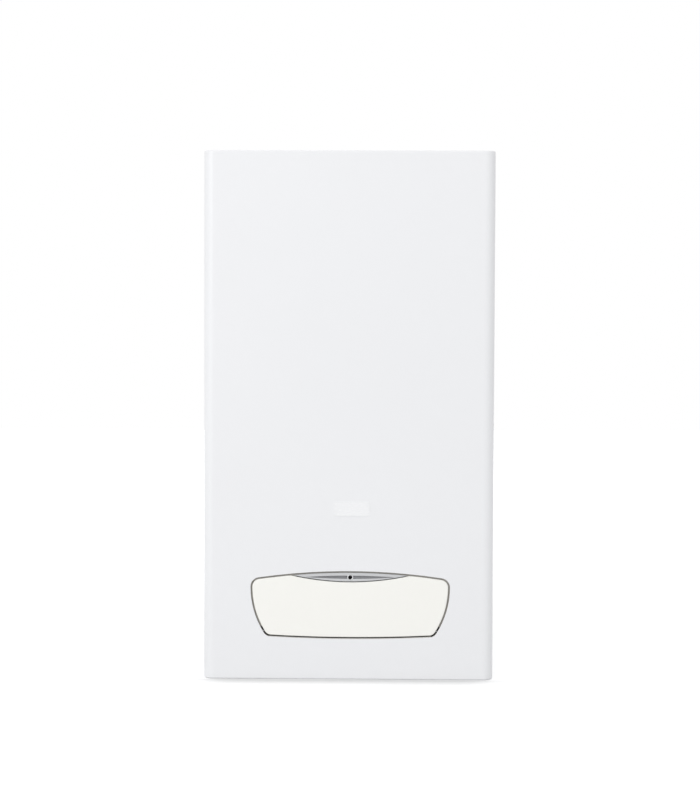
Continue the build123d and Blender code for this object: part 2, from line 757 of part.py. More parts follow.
def make_knob(knob, x):
    with knob:
        rod_out(x, control_height, knob_radius, fascia_front + knob_lift, grip_back)
        rod_out(x, control_height, knob_grip_radius, grip_back, knob_front)
        front_rim = knob.edges().group_by(Axis.Y)[0]
        fillet(front_rim, radius=knob_round)
        rod_out(x, control_height, knob_stem_radius, stem_back, fascia_front + knob_lift)
        block(x - pointer_groove / 2, x + pointer_groove / 2, knob_front - groove_depth, knob_front,
              control_height + pointer_start, control_height + knob_radius, mode=Mode.SUBTRACT)
        with Locations(Location((x, -knob_front, base + control_height), (90, 0, 0))):
            with PolarLocations(knob_grip_radius, flute_count):
                Cylinder(flute_radius, 2 * (knob_front - grip_back - knob_round), mode=Mode.SUBTRACT)


heating_knob = BuildPart()
make_knob(heating_knob, -knob_x)
heating_knob.part.label = "heating_knob"
export_step(heating_knob.part, "parts/heating_knob.step")

water_knob = BuildPart()
make_knob(water_knob, knob_x)
water_knob.part.label = "water_knob"
export_step(water_knob.part, "parts/water_knob.step")


button_stand = 2.0       # the cap stands this far proud of the fascia
button_round = 0.8
button_flange = 1.5
plunger_radius = 2.0
plunger_gap = 0.3        # left between the plunger and its switch at full travel


def make_button(button, h):
    with button:
        rod_out(button_x, h, button_radius, fascia_back, fascia_front + button_stand)
        fillet(button.edges().group_by(Axis.Y)[0], radius=button_round)
        rod_out(button_x, h, button_radius + button_flange, fascia_back - key_flange, fascia_back)
        rod_out(button_x, h, plunger_radius, switch_front + button_travel + plunger_gap,
                fascia_back - key_flange)


power_button = BuildPart()
make_button(power_button, button_heights[0])
power_button.part.label = "power_button"
export_step(power_button.part, "parts/power_button.step")

mode_button = BuildPart()
make_button(mode_button, button_heights[1])
mode_button.part.label = "mode_button"
export_step(mode_button.part, "parts/mode_button.step")

reset_button = BuildPart()
make_button(reset_button, button_heights[2])
reset_button.part.label = "reset_button"
export_step(reset_button.part, "parts/reset_button.step")

# Pressure gauge: body with a flange on the fascia, a pointer on a spindle, and a glass.
gauge_board_gap = 2.0
dial_recess = 5.0        # dial face behind the fascia's face
gauge_wall = 2.0
gauge_lap = 2.5
gauge_round = 1.0
glass_thickness = 1.3
glass_set = 0.2          # the glass lies this far behind the flange's face
pointer_radius = 0.8
pointer_bore = 4.0
pointer_hub_radius = 2.4
pointer_tip_gap = 3.0
pointer_tail = 5.0
pointer_half_width = 1.4
pointer_thickness = 0.6
gauge_back = board_front + gauge_board_gap
gauge_front = fascia_front + gauge_flange
dial_face = fascia_front - dial_recess
dial_radius = gauge_radius - gauge_wall
with BuildPart() as gauge_body:
    rod_out(gauge_x, control_height, gauge_radius, gauge_back, fascia_front)
    rod_out(gauge_x, control_height, gauge_radius + gauge_lap, fascia_front, gauge_front)
    fillet(gauge_body.edges().group_by(Axis.Y)[0], radius=gauge_round)
    rod_out(gauge_x, control_height, dial_radius, dial_face, gauge_front, mode=Mode.SUBTRACT)
    rod_out(gauge_x, control_height, pointer_radius + stem_clearance, dial_face - pointer_bore,
            dial_face, mode=Mode.SUBTRACT)
gauge_body.part.label = "gauge_body"
export_step(gauge_body.part, "parts/gauge_body.step")

hub_back = dial_face + 0.4
blade_back = hub_back + 0.4
hub_front = blade_back + 2 * pointer_thickness
tail_x = gauge_x + pointer_tail
with BuildPart() as gauge_needle:
    rod_out(gauge_x, control_height, pointer_radius, dial_face - pointer_bore + stem_end_gap, blade_back)
    rod_out(gauge_x, control_height, pointer_hub_radius, hub_back, hub_front)
    with BuildSketch(front_plane(blade_back)):
        with BuildLine():
            Polyline((gauge_x - dial_radius + pointer_tip_gap, control_height),
                     (tail_x, control_height + pointer_half_width),
                     (tail_x, control_height - pointer_half_width), close=True)
        make_face()
    extrude(amount=pointer_thickness)
gauge_needle.part.label = "gauge_needle"
export_step(gauge_needle.part, "parts/gauge_needle.step")

with BuildPart() as gauge_glass:
    rod_out(gauge_x, control_height, dial_radius, gauge_front - glass_set - glass_thickness,
            gauge_front - glass_set)
gauge_glass.part.label = "gauge_glass"
export_step(gauge_glass.part, "parts/gauge_glass.step")

# ================================ sealed chamber ================================

seal_width = 10.0
stack_mid = (stack_back + stack_front) / 2
bend_gap = 4.0           # straight run outside the shell before each bend
union_gap = 22.0         # the passes end this far short of the heating pipes
pipe_right_x = stack_half_width + tube_pitch + heating_pipe_radius + bend_gap / 2
pipe_left_x = -pipe_right_x
tube_back_d = stack_mid - tube_pitch * (tube_passes - 1) / 2
tube_front_d = stack_mid + tube_pitch * (tube_passes - 1) / 2
gas_rise_gap = 9.0       # the gas pipe rises this far behind the chamber's front
gas_rise_d = chamber_front - gas_rise_gap
pipe_hole = 0.3
with BuildPart() as sealed_chamber:
    block(-chamber_half_width, chamber_half_width, chamber_back, chamber_front, chamber_low, panel_low)
    block(-chamber_half_width + chamber_sheet, chamber_half_width - chamber_sheet,
          chamber_back + chamber_sheet, chamber_front, chamber_low + chamber_sheet,
          panel_low - chamber_sheet, mode=Mode.SUBTRACT)
    block(-chamber_half_width - seal_width, chamber_half_width + seal_width, chamber_front,
          chamber_front + chamber_sheet, chamber_low - seal_width, panel_low)
    block(-chamber_half_width + chamber_sheet, chamber_half_width - chamber_sheet, chamber_front,
          chamber_front + chamber_sheet, chamber_low + chamber_sheet, panel_low - seal_width,
          mode=Mode.SUBTRACT)
    rod_up(0, flue_d, collar_radius - collar_wall, panel_low - 2 * chamber_sheet, panel_low,
           mode=Mode.SUBTRACT)
    for x, d, radius in ((pipe_right_x, tube_back_d, heating_pipe_radius),
                         (pipe_left_x, tube_front_d, heating_pipe_radius),
                         (0, gas_rise_d, water_pipe_radius)):
        rod_up(x, d, radius + pipe_hole, chamber_low - over, chamber_low + 2 * chamber_sheet,
               mode=Mode.SUBTRACT)
sealed_chamber.part.label = "sealed_chamber"
export_step(sealed_chamber.part, "parts/sealed_chamber.step")

seal_back = chamber_front + chamber_sheet
cover_back = seal_back + seal_thickness
with BuildPart() as chamber_seal:
    block(-chamber_half_width - seal_width, chamber_half_width + seal_width, seal_back, cover_back,
          chamber_low - seal_width, panel_low)
    block(-chamber_half_width, chamber_half_width, seal_back, cover_back, chamber_low,
          panel_low - seal_width, mode=Mode.SUBTRACT)
chamber_seal.part.label = "chamber_seal"
export_step(chamber_seal.part, "parts/chamber_seal.step")

sight_glass_height = (firebox_low + firebox_high) / 2
sight_radius = 11.0
sight_rim = 6.0
sight_stand = 3.0
cover_front = cover_back + frame_sheet
with BuildPart() as chamber_cover:
    block(-chamber_half_width - seal_width, chamber_half_width + seal_width, cover_back,
          cover_front, chamber_low - seal_width, panel_low)
    rod_out(0, sight_glass_height, sight_radius + sight_rim, cover_front, cover_front + sight_stand)
    rod_out(0, sight_glass_height, sight_radius, cover_back, cover_front + sight_stand,
            mode=Mode.SUBTRACT)
chamber_cover.part.label = "chamber_cover"
export_step(chamber_cover.part, "parts/chamber_cover.step")

# ================================ burner and exchanger ================================

# Firebox: the lower frame holds the burner bars on its front and back walls, four feet stand on
# the chamber's floor and the upper box holds the insulation.
floor_h = chamber_low + chamber_sheet
burner_side_step = 7.0
burner_end_step = 2.0
burner_skirt = 8.0
firebox_foot = 20.0
throat_rise = 12.0
throat_hole = 4.5
electrode_pitch = 30.0
electrode_rise = 8.0
electrode_fit = 0.1
electrode_radius = 3.2
electrode_places = [-electrode_pitch, 0.0, electrode_pitch]
electrode_height = firebox_low + electrode_rise
burner_frame_half = stack_half_width - burner_side_step
burner_frame_low = burner_low - burner_skirt
burner_back = stack_back + burner_end_step
burner_front = stack_front - burner_end_step
throat_height = burner_low + throat_rise
burner_pitch = 2 * (burner_frame_half - burner_end_gap) / burner_count
bar_places = [(bar - (burner_count - 1) / 2) * burner_pitch for bar in range(burner_count)]
with BuildPart() as combustion_box:
    block(-stack_half_width, stack_half_width, stack_back, stack_front, firebox_low, firebox_high)
    block(-stack_half_width + chamber_sheet, stack_half_width - chamber_sheet, stack_back + chamber_sheet,
          stack_front - chamber_sheet, firebox_low, firebox_high, mode=Mode.SUBTRACT)
    block(-stack_half_width, stack_half_width, stack_back, stack_front, firebox_low - chamber_sheet,
          firebox_low)
    block(-burner_frame_half, burner_frame_half, burner_back, burner_front, burner_frame_low,
          firebox_low - chamber_sheet)
    block(-burner_frame_half + chamber_sheet, burner_frame_half - chamber_sheet,
          burner_back + chamber_sheet, burner_front - chamber_sheet, burner_frame_low, firebox_low,
          mode=Mode.SUBTRACT)
    for side in (-1, 1):
        for d in (burner_back, burner_front - chamber_sheet):
            block(side * burner_frame_half, side * (burner_frame_half - firebox_foot), d,
                  d + chamber_sheet, floor_h, burner_frame_low)
    for x in bar_places:
        rod_out(x, throat_height, throat_hole, burner_front - 2 * chamber_sheet, burner_front + over,
                mode=Mode.SUBTRACT)
    for x in electrode_places:
        rod_out(x, electrode_height, electrode_radius + electrode_fit, stack_front - 2 * chamber_sheet,
                stack_front + over, mode=Mode.SUBTRACT)
combustion_box.part.label = "combustion_box"
export_step(combustion_box.part, "parts/combustion_box.step")

board_rise = 16.0        # the boards start above the electrodes
board_joint = 0.3
inner_half = stack_half_width - chamber_sheet
inner_back = stack_back + chamber_sheet
inner_front = stack_front - chamber_sheet
with BuildPart() as insulation_boards:
    low = firebox_low + board_rise
    block(-inner_half, inner_half, inner_back, inner_back + insulation, low, firebox_high)
    block(-inner_half, inner_half, inner_front - insulation, inner_front, low, firebox_high)
    for side in (-1, 1):
        block(side * inner_half, side * (inner_half - insulation), inner_back + insulation + board_joint,
              inner_front - insulation - board_joint, low, firebox_high)
insulation_boards.part.label = "insulation_boards"
export_step(insulation_boards.part, "parts/insulation_boards.step")

# Burner bars: hollow blades with a venturi throat in front and a slotted head on top.
bar_back = burner_back + chamber_sheet
bar_front = burner_front - chamber_sheet
bar_web_half = 3.0
bar_web_low = burner_low + 10.0
bar_head = 10.0
bar_web_start = 20.0
bar_web_end = 30.0
venturi_radius = 6.0
venturi_bore = 4.0
bar_slot_half = 1.0
bar_slot_depth = 4.0
bar_slot_end = 6.0
with BuildPart() as burner_bars:
    for x in bar_places:
        block(x - bar_web_half, x + bar_web_half, bar_back + bar_web_start, bar_front - bar_web_end,
              bar_web_low, burner_high - bar_head)
        block(x - burner_bar_width / 2, x + burner_bar_width / 2, bar_back, bar_front,
              burner_high - bar_head, burner_high)
        rod_out(x, throat_height, venturi_radius, bar_back + bar_web_start, bar_front)
        rod_out(x, throat_height, venturi_bore, bar_back + 2 * bar_web_start, bar_front,
                mode=Mode.SUBTRACT)
        block(x - bar_slot_half, x + bar_slot_half, bar_back + bar_slot_end, bar_front - bar_slot_end,
              burner_high - bar_slot_depth, burner_high, mode=Mode.SUBTRACT)
burner_bars.part.label = "burner_bars"
export_step(burner_bars.part, "parts/burner_bars.step")

# Gas manifold: a square rail with one brass injector for each burner bar, on two end blocks.
manifold_half_height = 6.0
manifold_depth = 12.0
manifold_inset = 4.0
manifold_foot = 3.0
injector_length = 5.0
injector_radius = 3.0
injector_bore = 0.6
injector_gap = 1.0
manifold_back = burner_front + injector_length + injector_gap
manifold_end = burner_frame_half - manifold_inset
with BuildPart() as gas_manifold:
    block(-manifold_end, manifold_end, manifold_back, manifold_back + manifold_depth,
          throat_height - manifold_half_height, throat_height + manifold_half_height)
    for side in (-1, 1):
        block(side * manifold_end, side * (manifold_end - manifold_foot), burner_front, manifold_back,
              throat_height - manifold_half_height, throat_height + manifold_half_height)
    for x in bar_places:
        rod_out(x, throat_height, injector_radius, manifold_back - injector_length, manifold_back)
        rod_out(x, throat_height, injector_bore, manifold_back - injector_length, manifold_back,
                mode=Mode.SUBTRACT)
gas_manifold.part.label = "gas_manifold"
export_step(gas_manifold.part, "parts/gas_manifold.step")

# Electrodes: two for the spark and one that senses the flame, in the firebox's front wall.
electrode_inside = 10.0
electrode_outside = 12.0
electrode_collar = 4.0
electrode_collar_radius = 5.0
wire_radius = 1.0
wire_inside = 40.0
wire_outside = 16.0
with BuildPart() as electrodes:
    for x in electrode_places:
        rod_out(x, electrode_height, electrode_radius, stack_front - electrode_inside,
                stack_front + electrode_outside)
        rod_out(x, electrode_height, electrode_collar_radius, stack_front, stack_front + electrode_collar)
        rod_out(x, electrode_height, wire_radius, stack_front - wire_inside, stack_front + wire_outside)
electrodes.part.label = "electrodes"
export_step(electrodes.part, "parts/electrodes.step")

# Exchanger block: copper shell and fins, with a hole for each pass of the tube.
fin_margin = 8.0         # the fins end this far from the shell's top and bottom
fin_count = int((2 * stack_half_width - 2 * fin_pitch) / fin_pitch)
tube_height = (firebox_high + exchanger_high) / 2
with BuildPart() as exchanger_block:
    block(-stack_half_width, stack_half_width, stack_back, stack_front, firebox_high, exchanger_high)
    block(-stack_half_width + chamber_sheet, stack_half_width - chamber_sheet, stack_back + chamber_sheet,
          stack_front - chamber_sheet, firebox_high, exchanger_high, mode=Mode.SUBTRACT)
    for fin in range(fin_count):
        x = (fin - (fin_count - 1) / 2) * fin_pitch
        block(x - fin_thickness / 2, x + fin_thickness / 2, stack_back + chamber_sheet,
              stack_front - chamber_sheet, firebox_high + fin_margin, exchanger_high - fin_margin)
    for tube in range(tube_passes):
        rod_across(tube_back_d + tube * tube_pitch, tube_height, tube_radius, -stack_half_width - over,
                   stack_half_width + over, mode=Mode.SUBTRACT)
exchanger_block.part.label = "exchanger_block"
export_step(exchanger_block.part, "parts/exchanger_block.step")

# Exchanger tube: straight passes joined by half-round bends outside the shell.
bend_x = stack_half_width + bend_gap
pass_end = pipe_right_x - union_gap
with BuildPart() as exchanger_tube:
    with BuildLine() as tube_path:
        z = base + tube_height
        Line((pass_end, -tube_back_d, z), (-bend_x, -tube_back_d, z))
        for tube in range(tube_passes - 1):
            side = -1 if tube % 2 == 0 else 1
            d = tube_back_d + tube * tube_pitch
            ThreePointArc((side * bend_x, -d, z), (side * (bend_x + tube_pitch / 2), -d - tube_pitch / 2, z),
                          (side * bend_x, -d - tube_pitch, z))
            last = tube == tube_passes - 2
            far_x = pass_end if last else bend_x
            Line((side * bend_x, -d - tube_pitch, z), (-side * far_x, -d - tube_pitch, z))
    with BuildSketch(Plane(origin=tube_path.line @ 0, z_dir=tube_path.line % 0)):
        Circle(tube_radius)
        Circle(tube_radius - pipe_wall, mode=Mode.SUBTRACT)
    sweep(path=tube_path.line)
exchanger_tube.part.label = "exchanger_tube"
export_step(exchanger_tube.part, "parts/exchanger_tube.step")

# ================================ flue side ================================

fan_back = stack_back + riser_depth
fan_front = fan_back + fan_depth
fan_mid = (fan_back + fan_front) / 2
inlet_radius = 24.0
riser_margin = 8.0
seam_lap = 0.5           # the riser starts this far inside the hood's top
with BuildPart() as flue_hood:
    for inset, cut in ((0.0, Mode.ADD), (chamber_sheet, Mode.SUBTRACT)):
        with BuildSketch(level_plane(exchanger_high - inset)):
            with Locations((0, -stack_mid)):
                Rectangle(2 * (stack_half_width - inset), stack_front - stack_back - 2 * inset)
        with BuildSketch(level_plane(hood_high - inset)):
            with Locations((0, -(stack_back + fan_front) / 2)):
                Rectangle(2 * (hood_half_width - inset), fan_front - stack_back - 2 * inset)
        loft(mode=cut)
    riser_low_x = fan_x - inlet_radius - riser_margin
    riser_high_x = fan_x + inlet_radius + riser_margin
    riser_high = fan_height + inlet_radius + riser_margin
    block(riser_low_x, riser_high_x, stack_back, fan_back, hood_high - seam_lap, riser_high)
    block(riser_low_x + chamber_sheet, riser_high_x - chamber_sheet, stack_back + chamber_sheet,
          fan_back - chamber_sheet, hood_high - 5 * chamber_sheet, riser_high - chamber_sheet,
          mode=Mode.SUBTRACT)
    rod_out(fan_x, fan_height, inlet_radius, fan_back - 2 * chamber_sheet, fan_back + over,
            mode=Mode.SUBTRACT)
flue_hood.part.label = "flue_hood"
export_step(flue_hood.part, "parts/flue_hood.step")

# Fan housing: round volute with an upward outlet under the flue.
outlet_half = flue_radius - 2.0
outlet_rise = 12.0
outlet_top = fan_height + fan_radius + outlet_rise
flange_margin = 6.0
flange_thickness = 2.0
shaft_radius = 3.0
shaft_hole = shaft_radius + 2.0
spigot_low = outlet_top + flange_thickness
with BuildPart() as fan_housing:
    rod_out(fan_x, fan_height, fan_radius, fan_back, fan_front)
    block(-outlet_half, outlet_half, fan_back, fan_front, fan_height, outlet_top)
    rod_out(fan_x, fan_height, fan_radius - fan_wall, fan_back + fan_wall, fan_front - fan_wall,
            mode=Mode.SUBTRACT)
    block(-outlet_half + fan_wall, outlet_half - fan_wall, fan_back + fan_wall, fan_front - fan_wall,
          fan_height, outlet_top, mode=Mode.SUBTRACT)
    rod_out(fan_x, fan_height, inlet_radius, fan_back - over, fan_back + fan_wall + over,
            mode=Mode.SUBTRACT)
    rod_out(fan_x, fan_height, shaft_hole, fan_front - fan_wall - over, fan_front + over,
            mode=Mode.SUBTRACT)
    flange_half = flue_radius + flange_margin
    block(-flange_half, flange_half, flue_d - flange_half, flue_d + flange_half, outlet_top, spigot_low)
    rod_up(0, flue_d, flue_radius - flange_margin, outlet_top - fan_wall - over, spigot_low + over,
           mode=Mode.SUBTRACT)
fan_housing.part.label = "fan_housing"
export_step(fan_housing.part, "parts/fan_housing.step")

# Impeller: back plate, front ring, straight blades and the shaft that runs in the motor.
impeller_gap = 3.0
impeller_disc = 1.5
impeller_hub_radius = 8.0
impeller_hub_depth = 14.0
blade_width = 1.2
blade_margin = 0.5
shaft_end_gap = 8.0      # the shaft ends this far behind the motor's front
wheel_front = fan_front - fan_wall - impeller_gap
wheel_back = fan_back + fan_wall + impeller_gap
shaft_front = fan_front + motor_depth - shaft_end_gap
with BuildPart() as fan_impeller:
    rod_out(fan_x, fan_height, impeller_radius, wheel_front - impeller_disc, wheel_front)
    rod_out(fan_x, fan_height, impeller_radius, wheel_back, wheel_back + impeller_disc)
    rod_out(fan_x, fan_height, inlet_radius, wheel_back, wheel_back + impeller_disc, mode=Mode.SUBTRACT)
    rod_out(fan_x, fan_height, impeller_hub_radius, wheel_front - impeller_hub_depth, wheel_front)
    with Locations(Location((fan_x, -fan_mid, base + fan_height), (90, 0, 0))):
        with PolarLocations((inlet_radius + impeller_radius) / 2, impeller_blades):
            Box(impeller_radius - inlet_radius - 2 * blade_margin, blade_width,
                wheel_front - wheel_back - 2 * blade_margin)
    rod_out(fan_x, fan_height, shaft_radius, wheel_front - impeller_disc - blade_margin, shaft_front)
fan_impeller.part.label = "fan_impeller"
export_step(fan_impeller.part, "parts/fan_impeller.step")

motor_round = 4.0
with BuildPart() as fan_motor:
    rod_out(fan_x, fan_height, motor_radius, fan_front, fan_front + motor_depth)
    fillet(fan_motor.edges().group_by(Axis.Y)[0], radius=motor_round)
    rod_out(fan_x, fan_height, shaft_radius + stem_clearance, fan_front, shaft_front + over,
            mode=Mode.SUBTRACT)
fan_motor.part.label = "fan_motor"
export_step(fan_motor.part, "parts/fan_motor.step")

flue_drop = 2.0          # the flue's ends lie this far below the case's top edge
flue_top = case_height - flue_drop
spigot_lap = 5.0
collar_lap = 10.0
flue_flange = 1.5
with BuildPart() as flue_spigot:
    rod_up(0, flue_d, flue_radius, spigot_low, flue_top)
    rod_up(0, flue_d, flue_radius + spigot_lap, spigot_low, spigot_low + flue_flange)
    rod_up(0, flue_d, flue_radius - flue_wall, spigot_low, flue_top, mode=Mode.SUBTRACT)
flue_spigot.part.label = "flue_spigot"
export_step(flue_spigot.part, "parts/flue_spigot.step")

with BuildPart() as air_collar:
    rod_up(0, flue_d, collar_radius, panel_top, flue_top)
    rod_up(0, flue_d, collar_radius + collar_lap, panel_top, panel_top + flue_flange)
    rod_up(0, flue_d, collar_radius - collar_wall, panel_top, flue_top, mode=Mode.SUBTRACT)
air_collar.part.label = "air_collar"
export_step(air_collar.part, "parts/air_collar.step")

# ================================ water and gas side ================================

# Expansion vessel: two pressed steel halves with rounded rims, joined by a seam, on a ring behind.
vessel_rim = 24.0
vessel_wall = 1.5
vessel_seam = 5.0
vessel_ring = 60.0
vessel_height = panel_low - vessel_top_gap - vessel_seam - vessel_radius
seam_half = 1.5
with BuildPart() as expansion_vessel:
    with BuildSketch(Plane(origin=(0, 0, base + vessel_height), x_dir=(1, 0, 0), z_dir=(0, 0, 1))):
        for inset, cut in ((0.0, Mode.ADD), (vessel_wall, Mode.SUBTRACT)):
            with BuildSketch(mode=cut) as half_shell:
                with Locations(((vessel_radius - inset) / 2, -(vessel_back + vessel_front) / 2)):
                    Rectangle(vessel_radius - inset, vessel_front - vessel_back - 2 * inset)
                fillet(half_shell.vertices().group_by(Axis.X)[-1], vessel_rim - inset)
    revolve(axis=Axis((0, 0, base + vessel_height), (0, 1, 0)))
    seam_d = (vessel_back + vessel_front) / 2
    rod_out(0, vessel_height, vessel_radius + vessel_seam, seam_d - seam_half, seam_d + seam_half)
    rod_out(0, vessel_height, vessel_radius - vessel_wall, seam_d - seam_half - over,
            seam_d + seam_half + over, mode=Mode.SUBTRACT)
    rod_out(0, vessel_height, vessel_ring, back_face, vessel_back)
    rod_out(0, vessel_height, vessel_ring - vessel_wall, back_face, vessel_back, mode=Mode.SUBTRACT)
expansion_vessel.part.label = "expansion_vessel"
export_step(expansion_vessel.part, "parts/expansion_vessel.step")

# Pipe tails: threaded ends under the tray, a collar above it and a plain pipe up to each unit.
collar_height = 8.0
collar_rim = 3.0
tail_neck = 2.0
tail_wall = 2.0
neck_gap = 6.0           # full thickness again this far below the tray


def make_tail(x, thread_radius, bore_radius, top):
    rod_up(x, tail_distance, thread_radius, tail_low, tail_low + tail_thread)
    rod_up(x, tail_distance, thread_radius - tail_neck, tail_low + tail_thread, tray_height - neck_gap)
    rod_up(x, tail_distance, thread_radius, tray_height - neck_gap, tray_top)
    rod_up(x, tail_distance, thread_radius + collar_rim, tray_top, tray_top + collar_height)
    rod_up(x, tail_distance, bore_radius + tail_wall, tray_top, top)
    rod_up(x, tail_distance, bore_radius, tail_low, top, mode=Mode.SUBTRACT)


water_bore = 6.5
heating_bore = 9.0
pump_neck = 8.0
pump_low = pump_height - pump_radius
pump_foot = pump_low - pump_neck
sensor_rise = 8.0        # the flow sensor starts this far above the collar
sensor_low = tray_top + collar_height + sensor_rise
sensor_length = 22.0
sensor_high = sensor_low + sensor_length
sensor_radius = 12.0
sensor_wall = 2.0
spider_low = sensor_low + sensor_wall + over
spider_high = sensor_high - sensor_wall - over
spider_thickness = 2.0
spider_half_width = 1.0
turbine_gap = 0.5
turbine_pin_radius = 1.0
with BuildPart() as pipe_tails:
    make_tail(flow_x, heating_thread_radius, heating_bore, diverter_low)
    make_tail(-tail_spacing, water_thread_radius, water_bore, plate_low)
    make_tail(tail_spacing, water_thread_radius, water_bore, plate_low)
    make_tail(return_x, heating_thread_radius, heating_bore, pump_foot)
    rod_up(tail_spacing, tail_distance, sensor_radius, sensor_low, sensor_high)
    rod_up(tail_spacing, tail_distance, turbine_radius + turbine_gap, sensor_low + sensor_wall,
           sensor_high - sensor_wall, mode=Mode.SUBTRACT)
    spider_half = turbine_radius + turbine_gap + spider_half_width
    for h in (spider_low, spider_high - spider_thickness):
        block(tail_spacing - spider_half, tail_spacing + spider_half, tail_distance - spider_half_width,
              tail_distance + spider_half_width, h, h + spider_thickness)
    rod_up(tail_spacing, tail_distance, turbine_pin_radius + stem_clearance, sensor_low + sensor_wall,
           sensor_high - sensor_wall, mode=Mode.SUBTRACT)
pipe_tails.part.label = "pipe_tails"
export_step(pipe_tails.part, "parts/pipe_tails.step")

# Flow turbine: four vanes on a pin between two spiders.
pin_inset = 0.2
turbine_end_gap = 0.5
turbine_hub_radius = 2.5
turbine_vane = 1.0
turbine_low = spider_low + spider_thickness + turbine_end_gap
turbine_high = spider_high - spider_thickness - turbine_end_gap
with BuildPart() as flow_turbine:
    rod_up(tail_spacing, tail_distance, turbine_pin_radius, spider_low + pin_inset,
           spider_high - pin_inset)
    rod_up(tail_spacing, tail_distance, turbine_hub_radius, turbine_low, turbine_high)
    for turn in (0, 45, 90, 135):
        with Locations(Location((tail_spacing, -tail_distance, base + (turbine_low + turbine_high) / 2),
                                (0, 0, turn))):
            Box(2 * turbine_radius, turbine_vane, turbine_high - turbine_low)
flow_turbine.part.label = "flow_turbine"
export_step(flow_turbine.part, "parts/flow_turbine.step")

# Filling tap: a body across the cold and return tails, its quarter-turn handle under the tray.
tap_rise = 1.0
tap_length = 18.0
tap_cross_radius = 6.0
tap_radius = 9.0
tap_roof = 4.0
tap_low = tray_top + collar_height + tap_rise
tap_high = tap_low + tap_length
tap_left = tail_spacing + sensor_radius
tap_right = return_x - heating_bore - tail_wall
with BuildPart() as filling_tap:
    rod_across(tail_distance, (tap_low + tap_high) / 2, tap_cross_radius, tap_left, tap_right)
    rod_up(handle_x, tail_distance, tap_radius, tray_top, tap_high)
    rod_up(handle_x, tail_distance, handle_shaft_radius + stem_clearance, tray_top - over,
           tap_high - tap_roof, mode=Mode.SUBTRACT)
filling_tap.part.label = "filling_tap"
export_step(filling_tap.part, "parts/filling_tap.step")

handle_low = 14.0
handle_length = 22.0
handle_top = handle_low + handle_length
grip_flutes = 8
grip_flute_radius = 2.2
with BuildPart() as filling_handle:
    rod_up(handle_x, tail_distance, handle_radius, handle_low, handle_top)
    with Locations(Location((handle_x, -tail_distance, base + handle_low))):
        with PolarLocations(handle_radius + over, grip_flutes):
            Cylinder(grip_flute_radius, 3 * handle_length, mode=Mode.SUBTRACT)
    rod_up(handle_x, tail_distance, handle_shaft_radius, handle_top, tap_high - tap_roof - over)
filling_handle.part.label = "filling_handle"
export_step(filling_handle.part, "parts/filling_handle.step")

# Pump: volute, necks down and up with the safety valve's boss, motor in front, one rotor.
pump_wall = 6.0
pump_floor = 12.0
pump_rise = 24.0
pump_neck_wall = 5.0
valve_boss_radius = 10.0
valve_boss_length = 11.0
valve_margin = 2.0
valve_stem_radius = 3.0
pump_front = pump_back + pump_depth
neck_top = pump_height + pump_radius + pump_rise
cavity_radius = pump_radius - pump_wall
valve_height = neck_top - valve_boss_radius - valve_margin
boss_x = return_x - heating_bore - pump_neck_wall
safety_body_end = boss_x - valve_boss_length
with BuildPart() as pump_housing:
    rod_out(return_x, pump_height, pump_radius, pump_back, pump_front)
    rod_up(return_x, tail_distance, heating_bore + pump_neck_wall, pump_foot, neck_top)
    rod_across(tail_distance, valve_height, valve_boss_radius, return_x, safety_body_end)
    rod_out(return_x, pump_height, cavity_radius, pump_back + pump_floor, pump_front,
            mode=Mode.SUBTRACT)
    rod_up(return_x, tail_distance, heating_bore, pump_foot, neck_top, mode=Mode.SUBTRACT)
    rod_across(tail_distance, valve_height, valve_stem_radius + stem_clearance, return_x,
               safety_body_end, mode=Mode.SUBTRACT)
pump_housing.part.label = "pump_housing"
export_step(pump_housing.part, "parts/pump_housing.step")

motor_plate = 6.0
pump_motor_round = 5.0
pump_motor_cap = 10.0
pump_motor_front = pump_front + pump_motor_depth
with BuildPart() as pump_motor:
    rod_out(return_x, pump_height, pump_radius, pump_front, pump_front + motor_plate)
    rod_out(return_x, pump_height, pump_motor_radius, pump_front + motor_plate, pump_motor_front)
    fillet(pump_motor.edges().group_by(Axis.Y)[0], radius=pump_motor_round)
    rod_out(return_x, pump_height, pump_shaft_radius + stem_clearance, pump_front,
            pump_motor_front - pump_motor_cap, mode=Mode.SUBTRACT)
pump_motor.part.label = "pump_motor"
export_step(pump_motor.part, "parts/pump_motor.step")

wheel_gap = 4.0
wheel_radius = cavity_radius - wheel_gap
wheel_hub = 9.0
wheel_disc = 3.0
vane_depth = 11.0
vane_width = 2.0
vane_count = 6
rotor_gap = 5.0          # between the wheel and the motor's plate
disc_front = pump_front - rotor_gap
vane_front = disc_front - wheel_disc
vane_back = vane_front - vane_depth
vane_inner = wheel_hub - over
vane_outer = wheel_radius - over
with BuildPart() as pump_rotor:
    rod_out(return_x, pump_height, wheel_radius, vane_back - wheel_disc, vane_back)
    rod_out(return_x, pump_height, wheel_radius, vane_front, disc_front)
    rod_out(return_x, pump_height, wheel_hub, vane_back, vane_front)
    with Locations(Location((return_x, -(vane_back + vane_front) / 2, base + pump_height), (90, 0, 0))):
        with PolarLocations((vane_outer + vane_inner) / 2, vane_count):
            Box(vane_outer - vane_inner, vane_width, vane_depth)
    rod_out(return_x, pump_height, pump_shaft_radius, disc_front,
            pump_motor_front - pump_motor_cap - 2 * over)
pump_rotor.part.label = "pump_rotor"
export_step(pump_rotor.part, "parts/pump_rotor.step")

